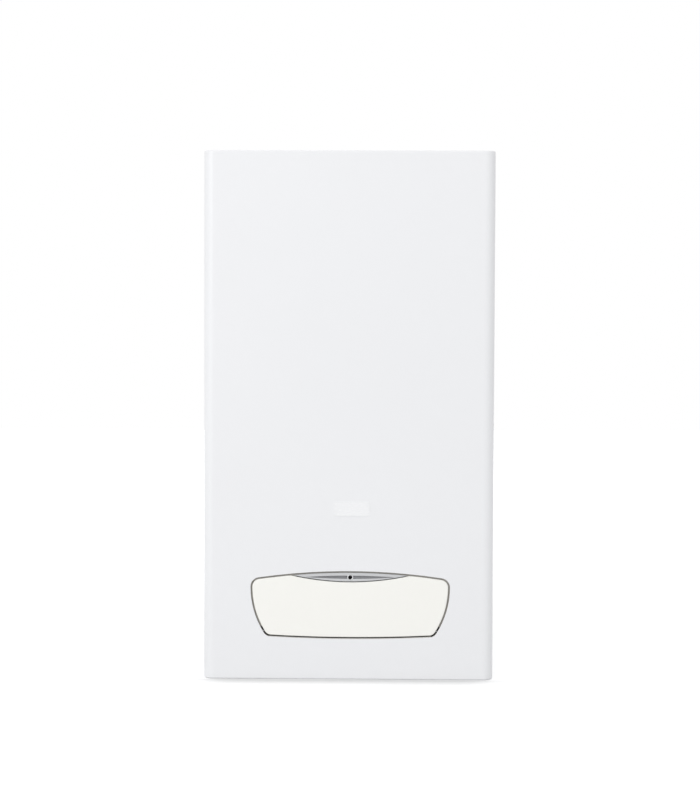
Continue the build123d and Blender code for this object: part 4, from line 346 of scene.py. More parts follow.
# roughness has a low and a high end, mottle and grain are noise scales, bump is a strength
finishLooks = {
    "casePaint": paint((0.822, 0.826, 0.838), (0.814, 0.817, 0.828), 5, (0.34, 0.42), 1400, 0.1,
        bumpDepth=0.00006, coat=0.15, coatRough=0.25, wear=0.1, wearRadius=0.0006, worn=(0.9, 0.9, 0.9)),
    "badgeSatin": paint((0.855, 0.858, 0.866), (0.83, 0.835, 0.845), 90, (0.22, 0.3), 2600, 0.12,
        stretch=(1, 1, 6), coat=0.4, wear=0.35, wearRadius=0.0004, worn=(0.93, 0.93, 0.94)),
    "flapCream": paint((0.9, 0.893, 0.85), (0.896, 0.888, 0.843), 9, (0.4, 0.42), 600, 0.02,
        bumpDepth=0.00002, coat=0.05, coatRough=0.3),
    "bezelGrey": paint((0.5, 0.478, 0.44), (0.44, 0.42, 0.39), 40, (0.5, 0.66), 1500, 0.35, bumpDepth=0.00008,
        wear=0.3, worn=(0.6, 0.58, 0.55), dust=0.15),
    "trimSilver": paint((0.515, 0.52, 0.53), (0.5, 0.505, 0.515), 30, (0.28, 0.36), 3000, 0.03,
        stretch=(0.3, 1, 1), metallic=0.3, coat=0.3),
    "lampSmoked": paint((0.001, 0.001, 0.001), (0.003, 0.003, 0.003), 400, (0.16, 0.26), 4000, 0.03,
        specular=0.05),
    "magnetBlack": paint((0.07, 0.07, 0.072), (0.12, 0.12, 0.12), 160, (0.45, 0.65), 2000, 0.4, wear=0.5,
        worn=(0.22, 0.21, 0.2)),
    "galvanised": paint((0.42, 0.43, 0.445), (0.34, 0.35, 0.365), 18, (0.32, 0.48), 1600, 0.1, metallic=0.9,
        spangle=130, crystal=(0.56, 0.57, 0.59), wear=0.35, worn=(0.8, 0.8, 0.8), dust=0.1),
    "zincScrew": paint((0.68, 0.68, 0.66), (0.6, 0.6, 0.56), 300, (0.22, 0.34), 5000, 0.1, metallic=1,
        wear=0.5, wearRadius=0.0003, worn=(0.85, 0.85, 0.84)),
    "groundPin": paint((0.34, 0.34, 0.35), (0.28, 0.28, 0.29), 200, (0.16, 0.26), 5000, 0.12,
        stretch=(0.1, 1, 1), metallic=1, wear=0.4, wearRadius=0.0003, worn=(0.85, 0.85, 0.85)),
    "boxGrey": paint((0.2, 0.2, 0.21), (0.165, 0.165, 0.175), 25, (0.45, 0.6), 1300, 0.35, wear=0.3,
        worn=(0.34, 0.34, 0.35), dust=0.3),
    "fasciaGrey": paint((0.46, 0.47, 0.48), (0.42, 0.43, 0.44), 22, (0.42, 0.52), 1500, 0.3,
        bumpDepth=0.00006, wear=0.25, worn=(0.62, 0.62, 0.63)),
    "knobPale": paint((0.74, 0.74, 0.72), (0.7, 0.7, 0.68), 80, (0.28, 0.38), 1800, 0.12, coat=0.2, wear=0.35,
        wearRadius=0.0005, worn=(0.86, 0.86, 0.85)),
    "buttonGrey": paint((0.26, 0.26, 0.27), (0.22, 0.22, 0.23), 200, (0.3, 0.42), 3000, 0.15, coat=0.15,
        wear=0.5, wearRadius=0.0004, worn=(0.42, 0.42, 0.43)),
    "gaugeBlack": paint((0.045, 0.045, 0.05), (0.07, 0.07, 0.075), 120, (0.35, 0.5), 2200, 0.25, wear=0.4,
        wearRadius=0.0004, worn=(0.16, 0.16, 0.17)),
    "needleRed": paint((0.62, 0.045, 0.03), (0.52, 0.03, 0.02), 250, (0.3, 0.4), 4000, 0.1, wear=0.3,
        wearRadius=0.0002, worn=(0.78, 0.22, 0.18)),
    "chamberSteel": paint((0.55, 0.56, 0.575), (0.46, 0.465, 0.475), 10, (0.34, 0.5), 900, 0.15,
        stretch=(0.12, 1, 1), metallic=0.95, wear=0.3, worn=(0.76, 0.76, 0.77), dust=0.2),
    "sealFoam": paint((0.045, 0.045, 0.045), (0.08, 0.08, 0.08), 300, (0.75, 0.92), 1400, 0.9,
        bumpDepth=0.0004, dust=0.2),
    "burnerSteel": paint((0.5, 0.49, 0.48), (0.36, 0.31, 0.3), 30, (0.3, 0.46), 1400, 0.12, metallic=1,
        wear=0.4, worn=(0.42, 0.4, 0.5)),
    "manifoldBrass": paint((0.72, 0.55, 0.26), (0.58, 0.42, 0.2), 60, (0.26, 0.4), 2000, 0.12, metallic=1,
        wear=0.4, worn=(0.85, 0.7, 0.42)),
    "fibreBoard": paint((0.8, 0.78, 0.72), (0.66, 0.62, 0.55), 50, (0.85, 0.96), 700, 0.8, bumpDepth=0.0005,
        stretch=(1, 1, 0.25), wear=0.3, worn=(0.9, 0.88, 0.84)),
    "electrodeWhite": paint((0.86, 0.84, 0.78), (0.74, 0.68, 0.58), 90, (0.18, 0.3), 2500, 0.08, coat=0.5,
        wear=0.2, worn=(0.55, 0.5, 0.44)),
    "copper": paint((0.7, 0.36, 0.22), (0.5, 0.25, 0.17), 28, (0.26, 0.42), 1500, 0.1, metallic=1, wear=0.35,
        worn=(0.86, 0.55, 0.4), dust=0.12),
    "fanCast": paint((0.6, 0.61, 0.62), (0.5, 0.51, 0.52), 40, (0.42, 0.58), 1100, 0.5, bumpDepth=0.00015,
        metallic=0.9, wear=0.4, worn=(0.8, 0.8, 0.8), dust=0.2),
    "motorBlack": paint((0.055, 0.055, 0.062), (0.085, 0.085, 0.092), 60, (0.32, 0.46), 1500, 0.2, wear=0.5,
        worn=(0.26, 0.26, 0.27), dust=0.25),
    "flueAlu": paint((0.76, 0.77, 0.78), (0.66, 0.67, 0.685), 14, (0.22, 0.36), 1500, 0.14, stretch=(1, 1, 9),
        metallic=1, wear=0.35, wearRadius=0.0005, worn=(0.9, 0.9, 0.9), dust=0.1),
    "vesselRed": paint((0.4, 0.035, 0.028), (0.33, 0.027, 0.022), 16, (0.24, 0.36), 600, 0.15, coat=0.4,
        wear=0.4, worn=(0.52, 0.2, 0.17), dust=0.3),
    "valveCast": paint((0.56, 0.57, 0.58), (0.47, 0.48, 0.49), 70, (0.4, 0.55), 1500, 0.45, bumpDepth=0.00012,
        metallic=0.9, wear=0.45, worn=(0.78, 0.78, 0.78), dust=0.2),
    "brassBody": paint((0.7, 0.53, 0.26), (0.55, 0.4, 0.19), 45, (0.26, 0.42), 1600, 0.22, metallic=1,
        wear=0.5, wearRadius=0.0005, worn=(0.86, 0.72, 0.44), dust=0.1),
    "plateSteel": paint((0.62, 0.62, 0.61), (0.5, 0.47, 0.42), 26, (0.2, 0.34), 1800, 0.1,
        stretch=(0.2, 1, 1), metallic=1, wear=0.4, worn=(0.8, 0.8, 0.79)),
    "actuatorWhite": paint((0.76, 0.76, 0.74), (0.7, 0.69, 0.66), 50, (0.38, 0.5), 1600, 0.25, wear=0.3,
        worn=(0.86, 0.86, 0.85), dust=0.25),
    "rotorBlue": paint((0.16, 0.19, 0.24), (0.12, 0.14, 0.18), 120, (0.32, 0.44), 2200, 0.15, wear=0.4,
        worn=(0.34, 0.37, 0.42)),
    "turbineClear": paint((0.78, 0.8, 0.82), (0.7, 0.72, 0.75), 200, (0.18, 0.28), 3000, 0.08, coat=0.3,
        wear=0.3, worn=(0.9, 0.91, 0.92)),
    "handleBlue": paint((0.03, 0.13, 0.4), (0.02, 0.1, 0.33), 90, (0.35, 0.48), 1900, 0.25, wear=0.5,
        worn=(0.16, 0.28, 0.56)),
    "knobRed": paint((0.56, 0.045, 0.035), (0.46, 0.03, 0.025), 90, (0.35, 0.48), 1900, 0.25, wear=0.5,
        worn=(0.7, 0.22, 0.18)),
    "glandBlack": paint((0.035, 0.035, 0.037), (0.06, 0.06, 0.062), 110, (0.4, 0.55), 2000, 0.3, wear=0.5,
        worn=(0.14, 0.14, 0.145)),
    "boardGreen": paint((0.03, 0.19, 0.075), (0.045, 0.27, 0.11), 240, (0.22, 0.34), 2600, 0.25,
        stretch=(1, 1, 3), coat=0.5, dust=0.2),
    "partBlack": paint((0.04, 0.04, 0.045), (0.07, 0.07, 0.075), 140, (0.38, 0.52), 2400, 0.2, wear=0.4,
        worn=(0.16, 0.16, 0.17), dust=0.3),
    "windowSmoked": paint((0.62, 0.66, 0.64), (0.56, 0.6, 0.58), 60, (0.03, 0.08), 1500, 0.01, clear=0.92,
        bend=1.49),
    "inkDark": paint((0.035, 0.036, 0.04), (0.06, 0.06, 0.066), 500, (0.45, 0.6), 4000, 0.15),
    "inkPale": paint((0.8, 0.8, 0.78), (0.72, 0.72, 0.7), 500, (0.4, 0.55), 4000, 0.12),
    "dialWhite": paint((0.8, 0.8, 0.77), (0.75, 0.75, 0.72), 90, (0.35, 0.5), 3000, 0.1),
    "zoneGreen": paint((0.05, 0.36, 0.1), (0.04, 0.28, 0.08), 400, (0.4, 0.55), 4000, 0.1),
    "panelGrey": paint((0.36, 0.42, 0.36), (0.31, 0.37, 0.32), 120, (0.25, 0.35), 3500, 0.05, coat=0.3),
    "ledgeGrey": paint((0.37, 0.355, 0.325), (0.34, 0.325, 0.3), 30, (0.5, 0.66), 1500, 0.2,
        bumpDepth=0.00006),
    # painted shade: the dark grey laid in the trim's groove stands in for the groove's shade
    "trimGroovePaintedShade": paint((0.25, 0.25, 0.262), (0.225, 0.225, 0.236), 60, (0.3, 0.4), 3000, 0.05,
        stretch=(0.3, 1, 1), metallic=0.2),
    # painted light: the lip's pale grey stands in for light in the shaded gap under the flap
    "lipPaintedLight": paint((0.66, 0.64, 0.6), (0.62, 0.6, 0.56), 30, (0.45, 0.6), 2400, 0.04),
    "collarBright": paint((0.52, 0.52, 0.53), (0.48, 0.48, 0.49), 300, (0.12, 0.2), 4000, 0.04, metallic=0.8),
    "nutBrass": paint((0.66, 0.52, 0.28), (0.55, 0.42, 0.22), 70, (0.22, 0.34), 2400, 0.12, metallic=1,
        wear=0.5, wearRadius=0.0004, worn=(0.86, 0.74, 0.48)),
    "gaugeClear": paint((0.95, 0.97, 0.97), (0.9, 0.93, 0.93), 60, (0.02, 0.06), 1500, 0.01, clear=0.97,
        bend=1.46),
}
finishes = {name: makeFinish(name, look) for name, look in finishLooks.items()}

finishUse = {
    "galvanised": ["wall_bracket", "chassis_back", "top_panel", "bottom_tray"],
    "casePaint": ["front_casing"], "zincScrew": ["casing_screws"], "badgeSatin": ["badge_plate"],
    "bezelGrey": ["aperture_bezel"], "trimSilver": ["grip_trim"], "lampSmoked": ["status_lamp_lens"],
    "magnetBlack": ["catch_magnet"], "flapCream": ["flap"],
    "groundPin": ["flap_hinge_pins", "flap_striker", "diverter_spindle"], "boxGrey": ["control_box"],
    "fasciaGrey": ["control_fascia"], "windowSmoked": ["display_window"], "boardGreen": ["control_board"],
    "partBlack": ["board_components"], "knobPale": ["heating_knob", "water_knob"],
    "buttonGrey": ["power_button", "mode_button", "reset_button"], "gaugeBlack": ["gauge_body"],
    "needleRed": ["gauge_needle"], "gaugeClear": ["gauge_glass"],
    "chamberSteel": ["sealed_chamber", "chamber_cover", "combustion_box", "flue_hood"],
    "sealFoam": ["chamber_seal"], "fibreBoard": ["insulation_boards"],
    "burnerSteel": ["burner_bars", "fan_impeller"], "manifoldBrass": ["gas_manifold"],
    "electrodeWhite": ["electrodes"],
    "copper": ["exchanger_block", "exchanger_tube", "heating_pipes", "gas_pipe"],
    "fanCast": ["fan_housing"], "motorBlack": ["fan_motor", "pump_motor"],
    "flueAlu": ["flue_spigot", "air_collar"], "vesselRed": ["expansion_vessel"],
    "brassBody": ["pipe_tails", "filling_tap", "pump_housing", "diverter_body"],
    "turbineClear": ["flow_turbine"], "handleBlue": ["filling_handle"], "rotorBlue": ["pump_rotor"],
    "knobRed": ["safety_knob"], "actuatorWhite": ["diverter_actuator"], "plateSteel": ["plate_exchanger"],
    "valveCast": ["gas_valve"], "glandBlack": ["cable_gland"],
}
for finish, names in finishUse.items():
    for name in names:
        nodes[name].data.materials.clear()
        nodes[name].data.materials.append(finishes[finish])
print("stage 4: finishes on", len(nodes), "nodes")


# modelling: measures are in mm, and finishPiece gives a piece its name
mergeGap = 0.000004                              # in metres
axisGap = 0.02                                   # a turned outline stays this far off its axis
zinc = ("zincScrew", "zinc_screw")               # finish and slot
darkInk = ("inkDark", "component_black")
paleInk = ("inkPale", "knob_plastic")
axisWays = {"out": Vector((0, -1, 0)), "up": Vector((0, 0, 1)), "across": Vector((-1, 0, 0))}


def pickOnly(piece):
    bpy.ops.object.select_all(action="DESELECT")
    piece.select_set(True)
    bpy.context.view_layer.objects.active = piece


def addShape(shape, **values):
    bpy.ops.object.select_all(action="DESELECT")
    getattr(bpy.ops.mesh, "primitive_" + shape + "_add")(**values)
    return bpy.context.object


def settle(piece):
    # place, turn and scale go into the mesh
    pickOnly(piece)
    bpy.ops.object.transform_apply(location=True, rotation=True, scale=True)


def applyAll(piece):
    pickOnly(piece)
    for modifier in list(piece.modifiers):
        bpy.ops.object.modifier_apply(modifier=modifier.name)


def thicken(piece, thick, way):
    wall = piece.modifiers.new("wall", "SOLIDIFY")
    wall.thickness = thick / 1000
    wall.offset = way
    applyAll(piece)


def softenEdges(piece, width, segments=3):
    edge = piece.modifiers.new("softEdge", "BEVEL")
    edge.width = width / 1000
    edge.segments = segments
    applyAll(piece)


def pickAll():
    bpy.ops.mesh.select_all(action="SELECT")


def startEdit():
    bpy.ops.object.mode_set(mode="EDIT")
    pickAll()


def endEdit():
    bpy.ops.object.mode_set(mode="OBJECT")


def cleanShell(piece):
    pickOnly(piece)
    startEdit()
    bpy.ops.mesh.remove_doubles(threshold=mergeGap)
    pickAll()
    bpy.ops.mesh.normals_make_consistent(inside=False)
    endEdit()


def selectFaces(piece, wanted):
    # leaves the piece in edit mode with the wanted faces selected
    for part in (piece.data.vertices, piece.data.edges, piece.data.polygons):
        part.foreach_set("select", [False] * len(part))
    for face in piece.data.polygons:
        face.select = bool(wanted(face.normal))
    pickOnly(piece)
    bpy.ops.object.mode_set(mode="EDIT")
    bpy.ops.mesh.select_mode(type="FACE")


def addBlock(spot, size, round=0, segments=2):
    # spot is the middle, size is across, deep, tall
    piece = addShape("cube", size=1, location=place(*spot))
    piece.scale = [length / 1000 for length in size]
    settle(piece)
    if round:
        startEdit()
        bpy.ops.mesh.bevel(offset=round / 1000, segments=segments)
        endEdit()
    return piece


def addPlate(spot, size, thick, corner, soft, frame=0.0):
    # a rounded plate facing out with its front at spot, or only its rim
    piece = addShape("plane", size=1, location=place(*spot), rotation=(math.pi / 2, 0, 0))
    piece.scale = (size[0] / 1000, size[1] / 1000, 1)
    settle(piece)
    startEdit()
    bpy.ops.mesh.bevel(offset=corner / 1000, segments=6, affect="VERTICES")
    pickAll()
    if frame:
        bpy.ops.mesh.inset(thickness=frame / 1000)
        bpy.ops.mesh.delete(type="FACE")
    endEdit()
    thicken(piece, thick, -1)
    softenEdges(piece, soft)
    return piece


def addTurned(spot, axis, outline, steps, angle=360.0, start=Vector((1, 0, 0))):
    # a closed outline of (radius, along) pairs, spun about an axis through spot
    centre = place(*spot)
    ends = "NGON" if angle < 360 else "NOTHING"
    piece = addShape("circle", vertices=len(outline), radius=0.01, fill_type=ends)
    for vertex, (radius, along) in zip(piece.data.vertices, outline):
        vertex.co = centre + start * radius / 1000 + axisWays[axis] * along / 1000
    startEdit()
    bpy.ops.mesh.spin(steps=steps, angle=-math.radians(angle), center=centre, axis=axisWays[axis])
    pickAll()
    bpy.ops.mesh.remove_doubles(threshold=mergeGap)
    if angle < 360:
        pickAll()
        bpy.ops.mesh.fill_holes(sides=0)
    endEdit()
    cleanShell(piece)
    return piece


def bandOutline(radii, levels):
    (near, far), (low, top) = radii, levels
    return [(near, low), (far, low), (far, top), (near, top)]


def fromTop(angle):
    # the way that points up, turned over the front by an angle in degrees
    return Matrix.Rotation(math.radians(angle), 3, "Y") @ Vector((0, 0, 1))


def addNumber(text, spot, size, thick):
    bpy.ops.object.select_all(action="DESELECT")
    bpy.ops.object.text_add()
    word = bpy.context.object
    word.data.body = text
    word.data.size = size / 1000
    word.data.extrude = thick / 2000
    word.data.resolution_u = 3
    word.data.align_x = word.data.align_y = "CENTER"
    bpy.ops.object.convert(target="MESH")
    word = bpy.context.object
    word.location = place(*spot)
    word.rotation_euler = (math.pi / 2, 0, 0)
    settle(word)
    cleanShell(word)
    return word


def joinPieces(parts):
    bpy.ops.object.select_all(action="DESELECT")
    for part in parts:
        part.select_set(True)
    bpy.context.view_layer.objects.active = parts[0]
    if len(parts) > 1:
        bpy.ops.object.join()
    whole = bpy.context.object
    settle(whole)
    return whole


def copyByEach(piece, changes):
    # each change makes a copy with its own mesh, and all copies are joined
    twins = []
    for change in changes:
        twin = piece.copy()
        twin.data = piece.data.copy()
        bpy.context.scene.collection.objects.link(twin)
        twin.matrix_world = change @ twin.matrix_world
        twins.append(twin)
    bpy.data.objects.remove(piece)
    return joinPieces(twins)


def turnedCopies(piece, spot, axis, angles):
    centre = place(*spot)
    turns = [Matrix.Rotation(math.radians(angle), 4, -axisWays[axis]) for angle in angles]
    there, back = Matrix.Translation(centre), Matrix.Translation(-centre)
    return copyByEach(piece, [there @ turn @ back for turn in turns])


def movedCopies(piece, steps):
    # steps are across, out, up from where the piece is
    return copyByEach(piece, [Matrix.Translation((x / 1000, -out / 1000, up / 1000)) for x, out, up in steps])


def spread(first, last, count):
    return [first + (last - first) * index / (count - 1) for index in range(count)]


def numberRing(look, x, out):
    # numbers clockwise from the lower left, at the middle height of a dial
    words = []
    for number, angle in zip(look["numbers"], spread(-look["sweep"], look["sweep"], len(look["numbers"]))):
        across, rise = math.sin(math.radians(angle)), math.cos(math.radians(angle))
        spot = (x + look["numberRadius"] * across, out, look["high"] + look["numberRadius"] * rise)
        words.append(addNumber(number, spot, look["numberSize"], look["numberThick"]))
    return joinPieces(words)


def finishPiece(piece, name, finish, slot, body="boiler", smooth=35):
    # piece may be a list of parts
    if isinstance(piece, list):
        piece = joinPieces(piece)
    settle(piece)
    piece.name = name
    piece.data.name = name
    bpy.ops.object.shade_smooth_by_angle(angle=math.radians(smooth))
    piece.data.materials.clear()
    piece.data.materials.append(finishes[finish])
    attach(piece, body)


# knob dials
dialLook = {
    "across": {"heating": -52, "water": 52}, "high": 106, "ringFace": 290.5, "fasciaFace": 290,
    "ringRadius": 20, "mark": (0.5, 0.16, 1.5), "markRound": 0.06, "marks": 11, "sweep": 135,
    "numbers": "123456", "numberRadius": 23.6, "numberSize": 3.6, "numberThick": 0.2,
    "pointer": (1.5, 0.8, 10.2), "pointerRound": 0.25, "pointerMiddle": 8.6, "pointerOut": 301.3,
    "signDrop": 31, "signBar": (0.9, 0.24, 6.2), "signBars": 5, "signPitch": 1.7, "signRound": 0.1,
    "rail": (0.22, 0.8), "railPast": 1.6, "railRise": 2.1, "railRound": 0.08,
    "dropRadius": 2.2, "dropThick": 0.24, "dropTip": 5.6, "dropCurve": 1.15, "dropTaper": 0.35, "dropLow": 1,
    "dropEdge": 0.6, "dropSwell": 0.06,
}


def makeDial(look, use, x):
    high, face = look["high"], look["ringFace"]
    mark = addBlock((x, face, high + look["ringRadius"]), look["mark"], look["markRound"], 1)
    marks = turnedCopies(mark, (x, face, high), "out", spread(-look["sweep"], look["sweep"], look["marks"]))
    finishPiece(marks, use + "DialMarks", *darkInk)
    finishPiece(numberRing(look, x, look["fasciaFace"]), use + "DialNumbers", *paleInk)
    spot = (x, look["pointerOut"], high + look["pointerMiddle"])
    pointer = addBlock(spot, look["pointer"], look["pointerRound"], 3)
    finishPiece(pointer, use + "Pointer", *darkInk, use + "_dial")


def makeRadiatorSign(look, x):
    face, foot = look["fasciaFace"], look["high"] - look["signDrop"]
    half = look["signPitch"] * (look["signBars"] - 1) / 2
    bar = addBlock((x, face, foot), look["signBar"], look["signRound"], 1)
    parts = [movedCopies(bar, [(step, 0, 0) for step in spread(-half, half, look["signBars"])])]
    for rise in (-look["railRise"], look["railRise"]):
        size = (2 * half + look["railPast"], *look["rail"])
        parts.append(addBlock((x, face, foot + rise), size, look["railRound"], 1))
    finishPiece(parts, "radiatorSign", *paleInk)


def makeDropSign(look, x):
    foot = look["high"] - look["signDrop"] - look["dropLow"]
    drop = addShape("cylinder", vertices=32, radius=look["dropRadius"] / 1000, depth=look["dropThick"] / 1000,
                    location=place(x, look["fasciaFace"], foot), rotation=(math.pi / 2, 0, 0))
    settle(drop)
    level = place(x, 0, foot)
    for vertex in drop.data.vertices:            # the upper half is drawn up to the drop's tip
        rise = (vertex.co.z - level.z) * 1000 / look["dropRadius"]
        if rise > 0:
            vertex.co.z = level.z + look["dropTip"] * rise ** look["dropCurve"] / 1000
            vertex.co.x = level.x + (vertex.co.x - level.x) * (1 - look["dropTaper"] * rise)
    selectFaces(drop, lambda normal: normal.y < -0.9)
    bpy.ops.mesh.inset(thickness=look["dropEdge"] / 1000)
    bpy.ops.transform.translate(value=(0, -look["dropSwell"] / 1000, 0))
    endEdit()
    finishPiece(drop, "dropSign", *paleInk)


# pressure gauge: a zone has its first and last angle, its finish and its slot
gaugeLook = {
    "x": -98, "high": 106, "face": 285.0, "plate": 0.25, "plateSink": 0.1, "plateEdge": 0.08,
    "plateRadius": 16.8, "hole": 2.8, "sweep": 135, "parts": 5,
    "bigMark": (0.7, 0.12, 2.6), "smallMark": (0.35, 0.12, 1.4), "markRound": 0.04, "markEdge": 15.4,
    "numbers": "01234", "numberRadius": 10.6, "numberSize": 3.6, "numberThick": 0.14,
    "zoneBand": (15.6, 16.5), "zoneRise": (-0.05, 0.06),
    "zones": {"gaugeGreenZone": (-67.5, 0.0, "zoneGreen", "actuator_plastic"),
              "gaugeRedZone": (67.5, 135.0, "needleRed", "needle_red")},
}


def makeGauge(look):
    x, high, hole, rim, edge = (look[key] for key in ("x", "high", "hole", "plateRadius", "plateEdge"))
    back, front = look["face"] - look["plateSink"], look["face"] + look["plate"]
    outline = [(hole, back), (rim, back), (rim, front - edge), (rim - edge, front), (hole + edge, front),
               (hole, front - edge)]
    plate = addTurned((x, 0, high), "out", outline, steps=64)
    finishPiece(plate, "gaugeDial", "dialWhite", "actuator_plastic", smooth=30)
    angles = spread(-look["sweep"], look["sweep"], (len(look["numbers"]) - 1) * look["parts"] + 1)
    whole = angles[::look["parts"]]
    between = [angle for angle in angles if angle not in whole]
    marks = []
    for size, turns in ((look["bigMark"], whole), (look["smallMark"], between)):
        mark = addBlock((x, front, high + look["markEdge"] - size[2] / 2), size, look["markRound"], 1)
        marks.append(turnedCopies(mark, (x, front, high), "out", turns))
    finishPiece(marks, "gaugeMarks", *darkInk)
    finishPiece(numberRing(look, x, front), "gaugeNumbers", *darkInk)
    band = bandOutline(look["zoneBand"], [front + rise for rise in look["zoneRise"]])
    for name, (first, last, finish, slot) in look["zones"].items():
        zone = addTurned((x, 0, high), "out", band, 24, angle=first - last, start=fromTop(first))
        finishPiece(zone, name, finish, slot)


# display: plates are out, size, thickness, corner and soft edge; letters name a digit's bars, a on top
displayLook = {
    "high": 106, "pane": (290.0, (45.8, 29.8), 1.0, 1.9, 0.15), "mask": (288.8, (45.8, 29.8), 1.6, 1.9, 0.1),
    "maskWide": 4.2, "panel": (287.7, (44.5, 28.5), 0.9, 1.0, 0.1),
    "digitWide": 6.6, "digitTall": 12.0, "digitRise": 1.0, "lean": 0.10, "bar": 1.3, "barGaps": (1.1, 0.6),
    "inkThick": 0.16, "inkRound": 0.07,
    "digits": {-8.6: "4", 1.4: "8"}, "segments": {"4": "bcfg", "8": "abcdefg"},
    "degree": (9.2, 6.0), "degreeBand": (0.75, 1.35), "degreeThick": 0.1,
    "levels": 4, "levelAt": (13.6, -5.4), "levelPitch": 2.3,
    "levelWide": 1.6, "levelGrow": 0.9, "levelTall": 1.3,
}


def makeDigit(look, x, number):
    high, side = look["high"] + look["digitRise"], look["digitWide"] / 2
    tall, bar = look["digitTall"], look["bar"]
    flat = (look["digitWide"] - bar * look["barGaps"][0], look["inkThick"], bar)
    stood = (bar, look["inkThick"], tall / 2 - bar * look["barGaps"][1])
    spots = {"a": (0, tall / 2, flat), "g": (0, 0, flat), "d": (0, -tall / 2, flat),
             "b": (side, tall / 4, stood), "f": (-side, tall / 4, stood),
             "c": (side, -tall / 4, stood), "e": (-side, -tall / 4, stood)}
    parts = []
    for letter in look["segments"][number]:
        across, rise, size = spots[letter]
        spot = (x + across + rise * look["lean"], look["panel"][0], high + rise)
        parts.append(addBlock(spot, size, look["inkRound"], 1))
    return parts


def makeDisplay(look):
    high = look["high"]
    for key, name, finish, slot, frame in (
            ("pane", "displayPane", "windowSmoked", "display_clear", 0),
            ("mask", "displayMask", "partBlack", "component_black", look["maskWide"]),
            ("panel", "displayPanel", "panelGrey", "actuator_plastic", 0)):
        out, size, thick, corner, soft = look[key]
        plate = addPlate((0, out, high), size, thick, corner, soft, frame)
        finishPiece(plate, name, finish, slot)
        if key == "pane":
            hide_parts("display_window")
    parts = []
    for x, number in look["digits"].items():
        parts += makeDigit(look, x, number)
    x, rise = look["degree"]
    band = bandOutline(look["degreeBand"], (out, out + look["degreeThick"]))
    parts.append(addTurned((x, 0, high + rise), "out", band, steps=20))
    x, rise = look["levelAt"]
    for index in range(look["levels"]):          # burner level bars
        size = (look["levelWide"] + look["levelGrow"] * index, look["inkThick"], look["levelTall"])
        parts.append(addBlock((x, out, high + rise + look["levelPitch"] * index), size, look["inkRound"], 1))
    finishPiece(parts, "displayDigits", *darkInk)


# rings round the buttons and the signs on them; arcs have a first angle and a sweep
keyLook = {
    "x": 98, "front": 292.0, "rise": 0.12, "sink": 0.05, "round": 0.05,
    "heights": {"power": 125, "mode": 106, "reset": 87},
    "ring": (6.2, 6.9), "ringRise": (289.9, 290.15, 290.25), "ringEdge": 0.15,
    "arcBand": (1.75, 2.3), "powerArc": (35, 290), "powerBar": (0.55, 1.9), "barRise": 1.7,
    "modeLine": (3.6, 0.55), "modePitch": 1.3,
    "resetArc": (60, 270), "headRadius": 1.1, "headAt": (1.75, 1.25), "headTurn": 20,
}


def makeRings(look):
    (near, far), (foot, shoulder, top), edge = look["ring"], look["ringRise"], look["ringEdge"]
    outline = [(near, foot), (far, foot), (far, shoulder), (far - edge, top), (near + edge, top),
               (near, shoulder)]
    rings = [addTurned((look["x"], 0, high), "out", outline, steps=40) for high in look["heights"].values()]
    finishPiece(rings, "buttonRings", *paleInk, smooth=30)


def signArc(look, high, first, sweep):
    levels = (look["front"] - look["sink"], look["front"] + look["rise"])
    band = bandOutline(look["arcBand"], levels)
    return addTurned((look["x"], 0, high), "out", band, 32, angle=-sweep, start=fromTop(first))


def signBar(look, high, size):
    wide, tall = size
    return addBlock((look["x"], look["front"], high), (wide, 2 * look["rise"], tall), look["round"], 1)


def makeSigns(look):
    high = look["heights"]["power"]
    arc = signArc(look, high, *look["powerArc"])
    bar = signBar(look, high + look["barRise"], look["powerBar"])
    finishPiece([arc, bar], "powerSign", *paleInk, "power_key")
    high = look["heights"]["mode"]
    steps = (-look["modePitch"], 0, look["modePitch"])
    bars = [signBar(look, high + step, look["modeLine"]) for step in steps]
    finishPiece(bars, "modeSign", *paleInk, "mode_key")
    high = look["heights"]["reset"]
    arc = signArc(look, high, *look["resetArc"])
    spot = place(look["x"] + look["headAt"][0], look["front"], high + look["headAt"][1])
    head = addShape("cylinder", vertices=3, radius=look["headRadius"] / 1000, depth=2 * look["rise"] / 1000,
                    location=spot, rotation=(math.pi / 2, math.radians(look["headTurn"]), 0))
    settle(head)
    finishPiece([arc, head], "resetSign", *paleInk, "reset_key")


for use, x in dialLook["across"].items():
    makeDial(dialLook, use, x)
makeRadiatorSign(dialLook, dialLook["across"]["heating"])
makeDropSign(dialLook, dialLook["across"]["water"])
makeGauge(gaugeLook)
makeDisplay(displayLook)
makeRings(keyLook)
makeSigns(keyLook)
print("stage 5: dials, gauge, display, button rings and signs")


# dark liner in the trim's groove, which paints the groove's shade, and collar round the lamp
trimLook = {
    "x": 2.8, "front": 310.0, "points": 24,
    "grooveHigh": 144.0, "grooveHalf": 62.5, "grooveDeep": 2.16, "liner": 0.14,
    "lampHigh": 143.8, "collar": [(2.9, 309.55), (4.3, 309.9), (4.4, 310.0), (4.3, 310.2), (3.9, 310.35),
                                  (3.3, 310.35), (2.9, 310.2)],
}


def makeTrim(look):
    outer, inner = [], []
    for index in range(look["points"] + 1):
        share = -1 + 2 * index / look["points"]
        deep, along = look["grooveDeep"] * (1 - share * share), -look["x"] - look["grooveHalf"] * share
        outer.append((deep, along))
        if 0 < index < look["points"]:
            inner.append((max(deep - look["liner"], axisGap), along))
    spot = (0, look["front"], look["grooveHigh"])
    liner = addTurned(spot, "across", outer + inner[::-1], 16, angle=180, start=fromTop(0))
    finishPiece(liner, "grooveShadeLiner", "trimGroovePaintedShade", "trim_silver", smooth=50)
    collar = addTurned((look["x"], 0, look["lampHigh"]), "out", look["collar"], steps=48)
    finishPiece(collar, "lampCollar", "collarBright", "trim_silver", smooth=50)


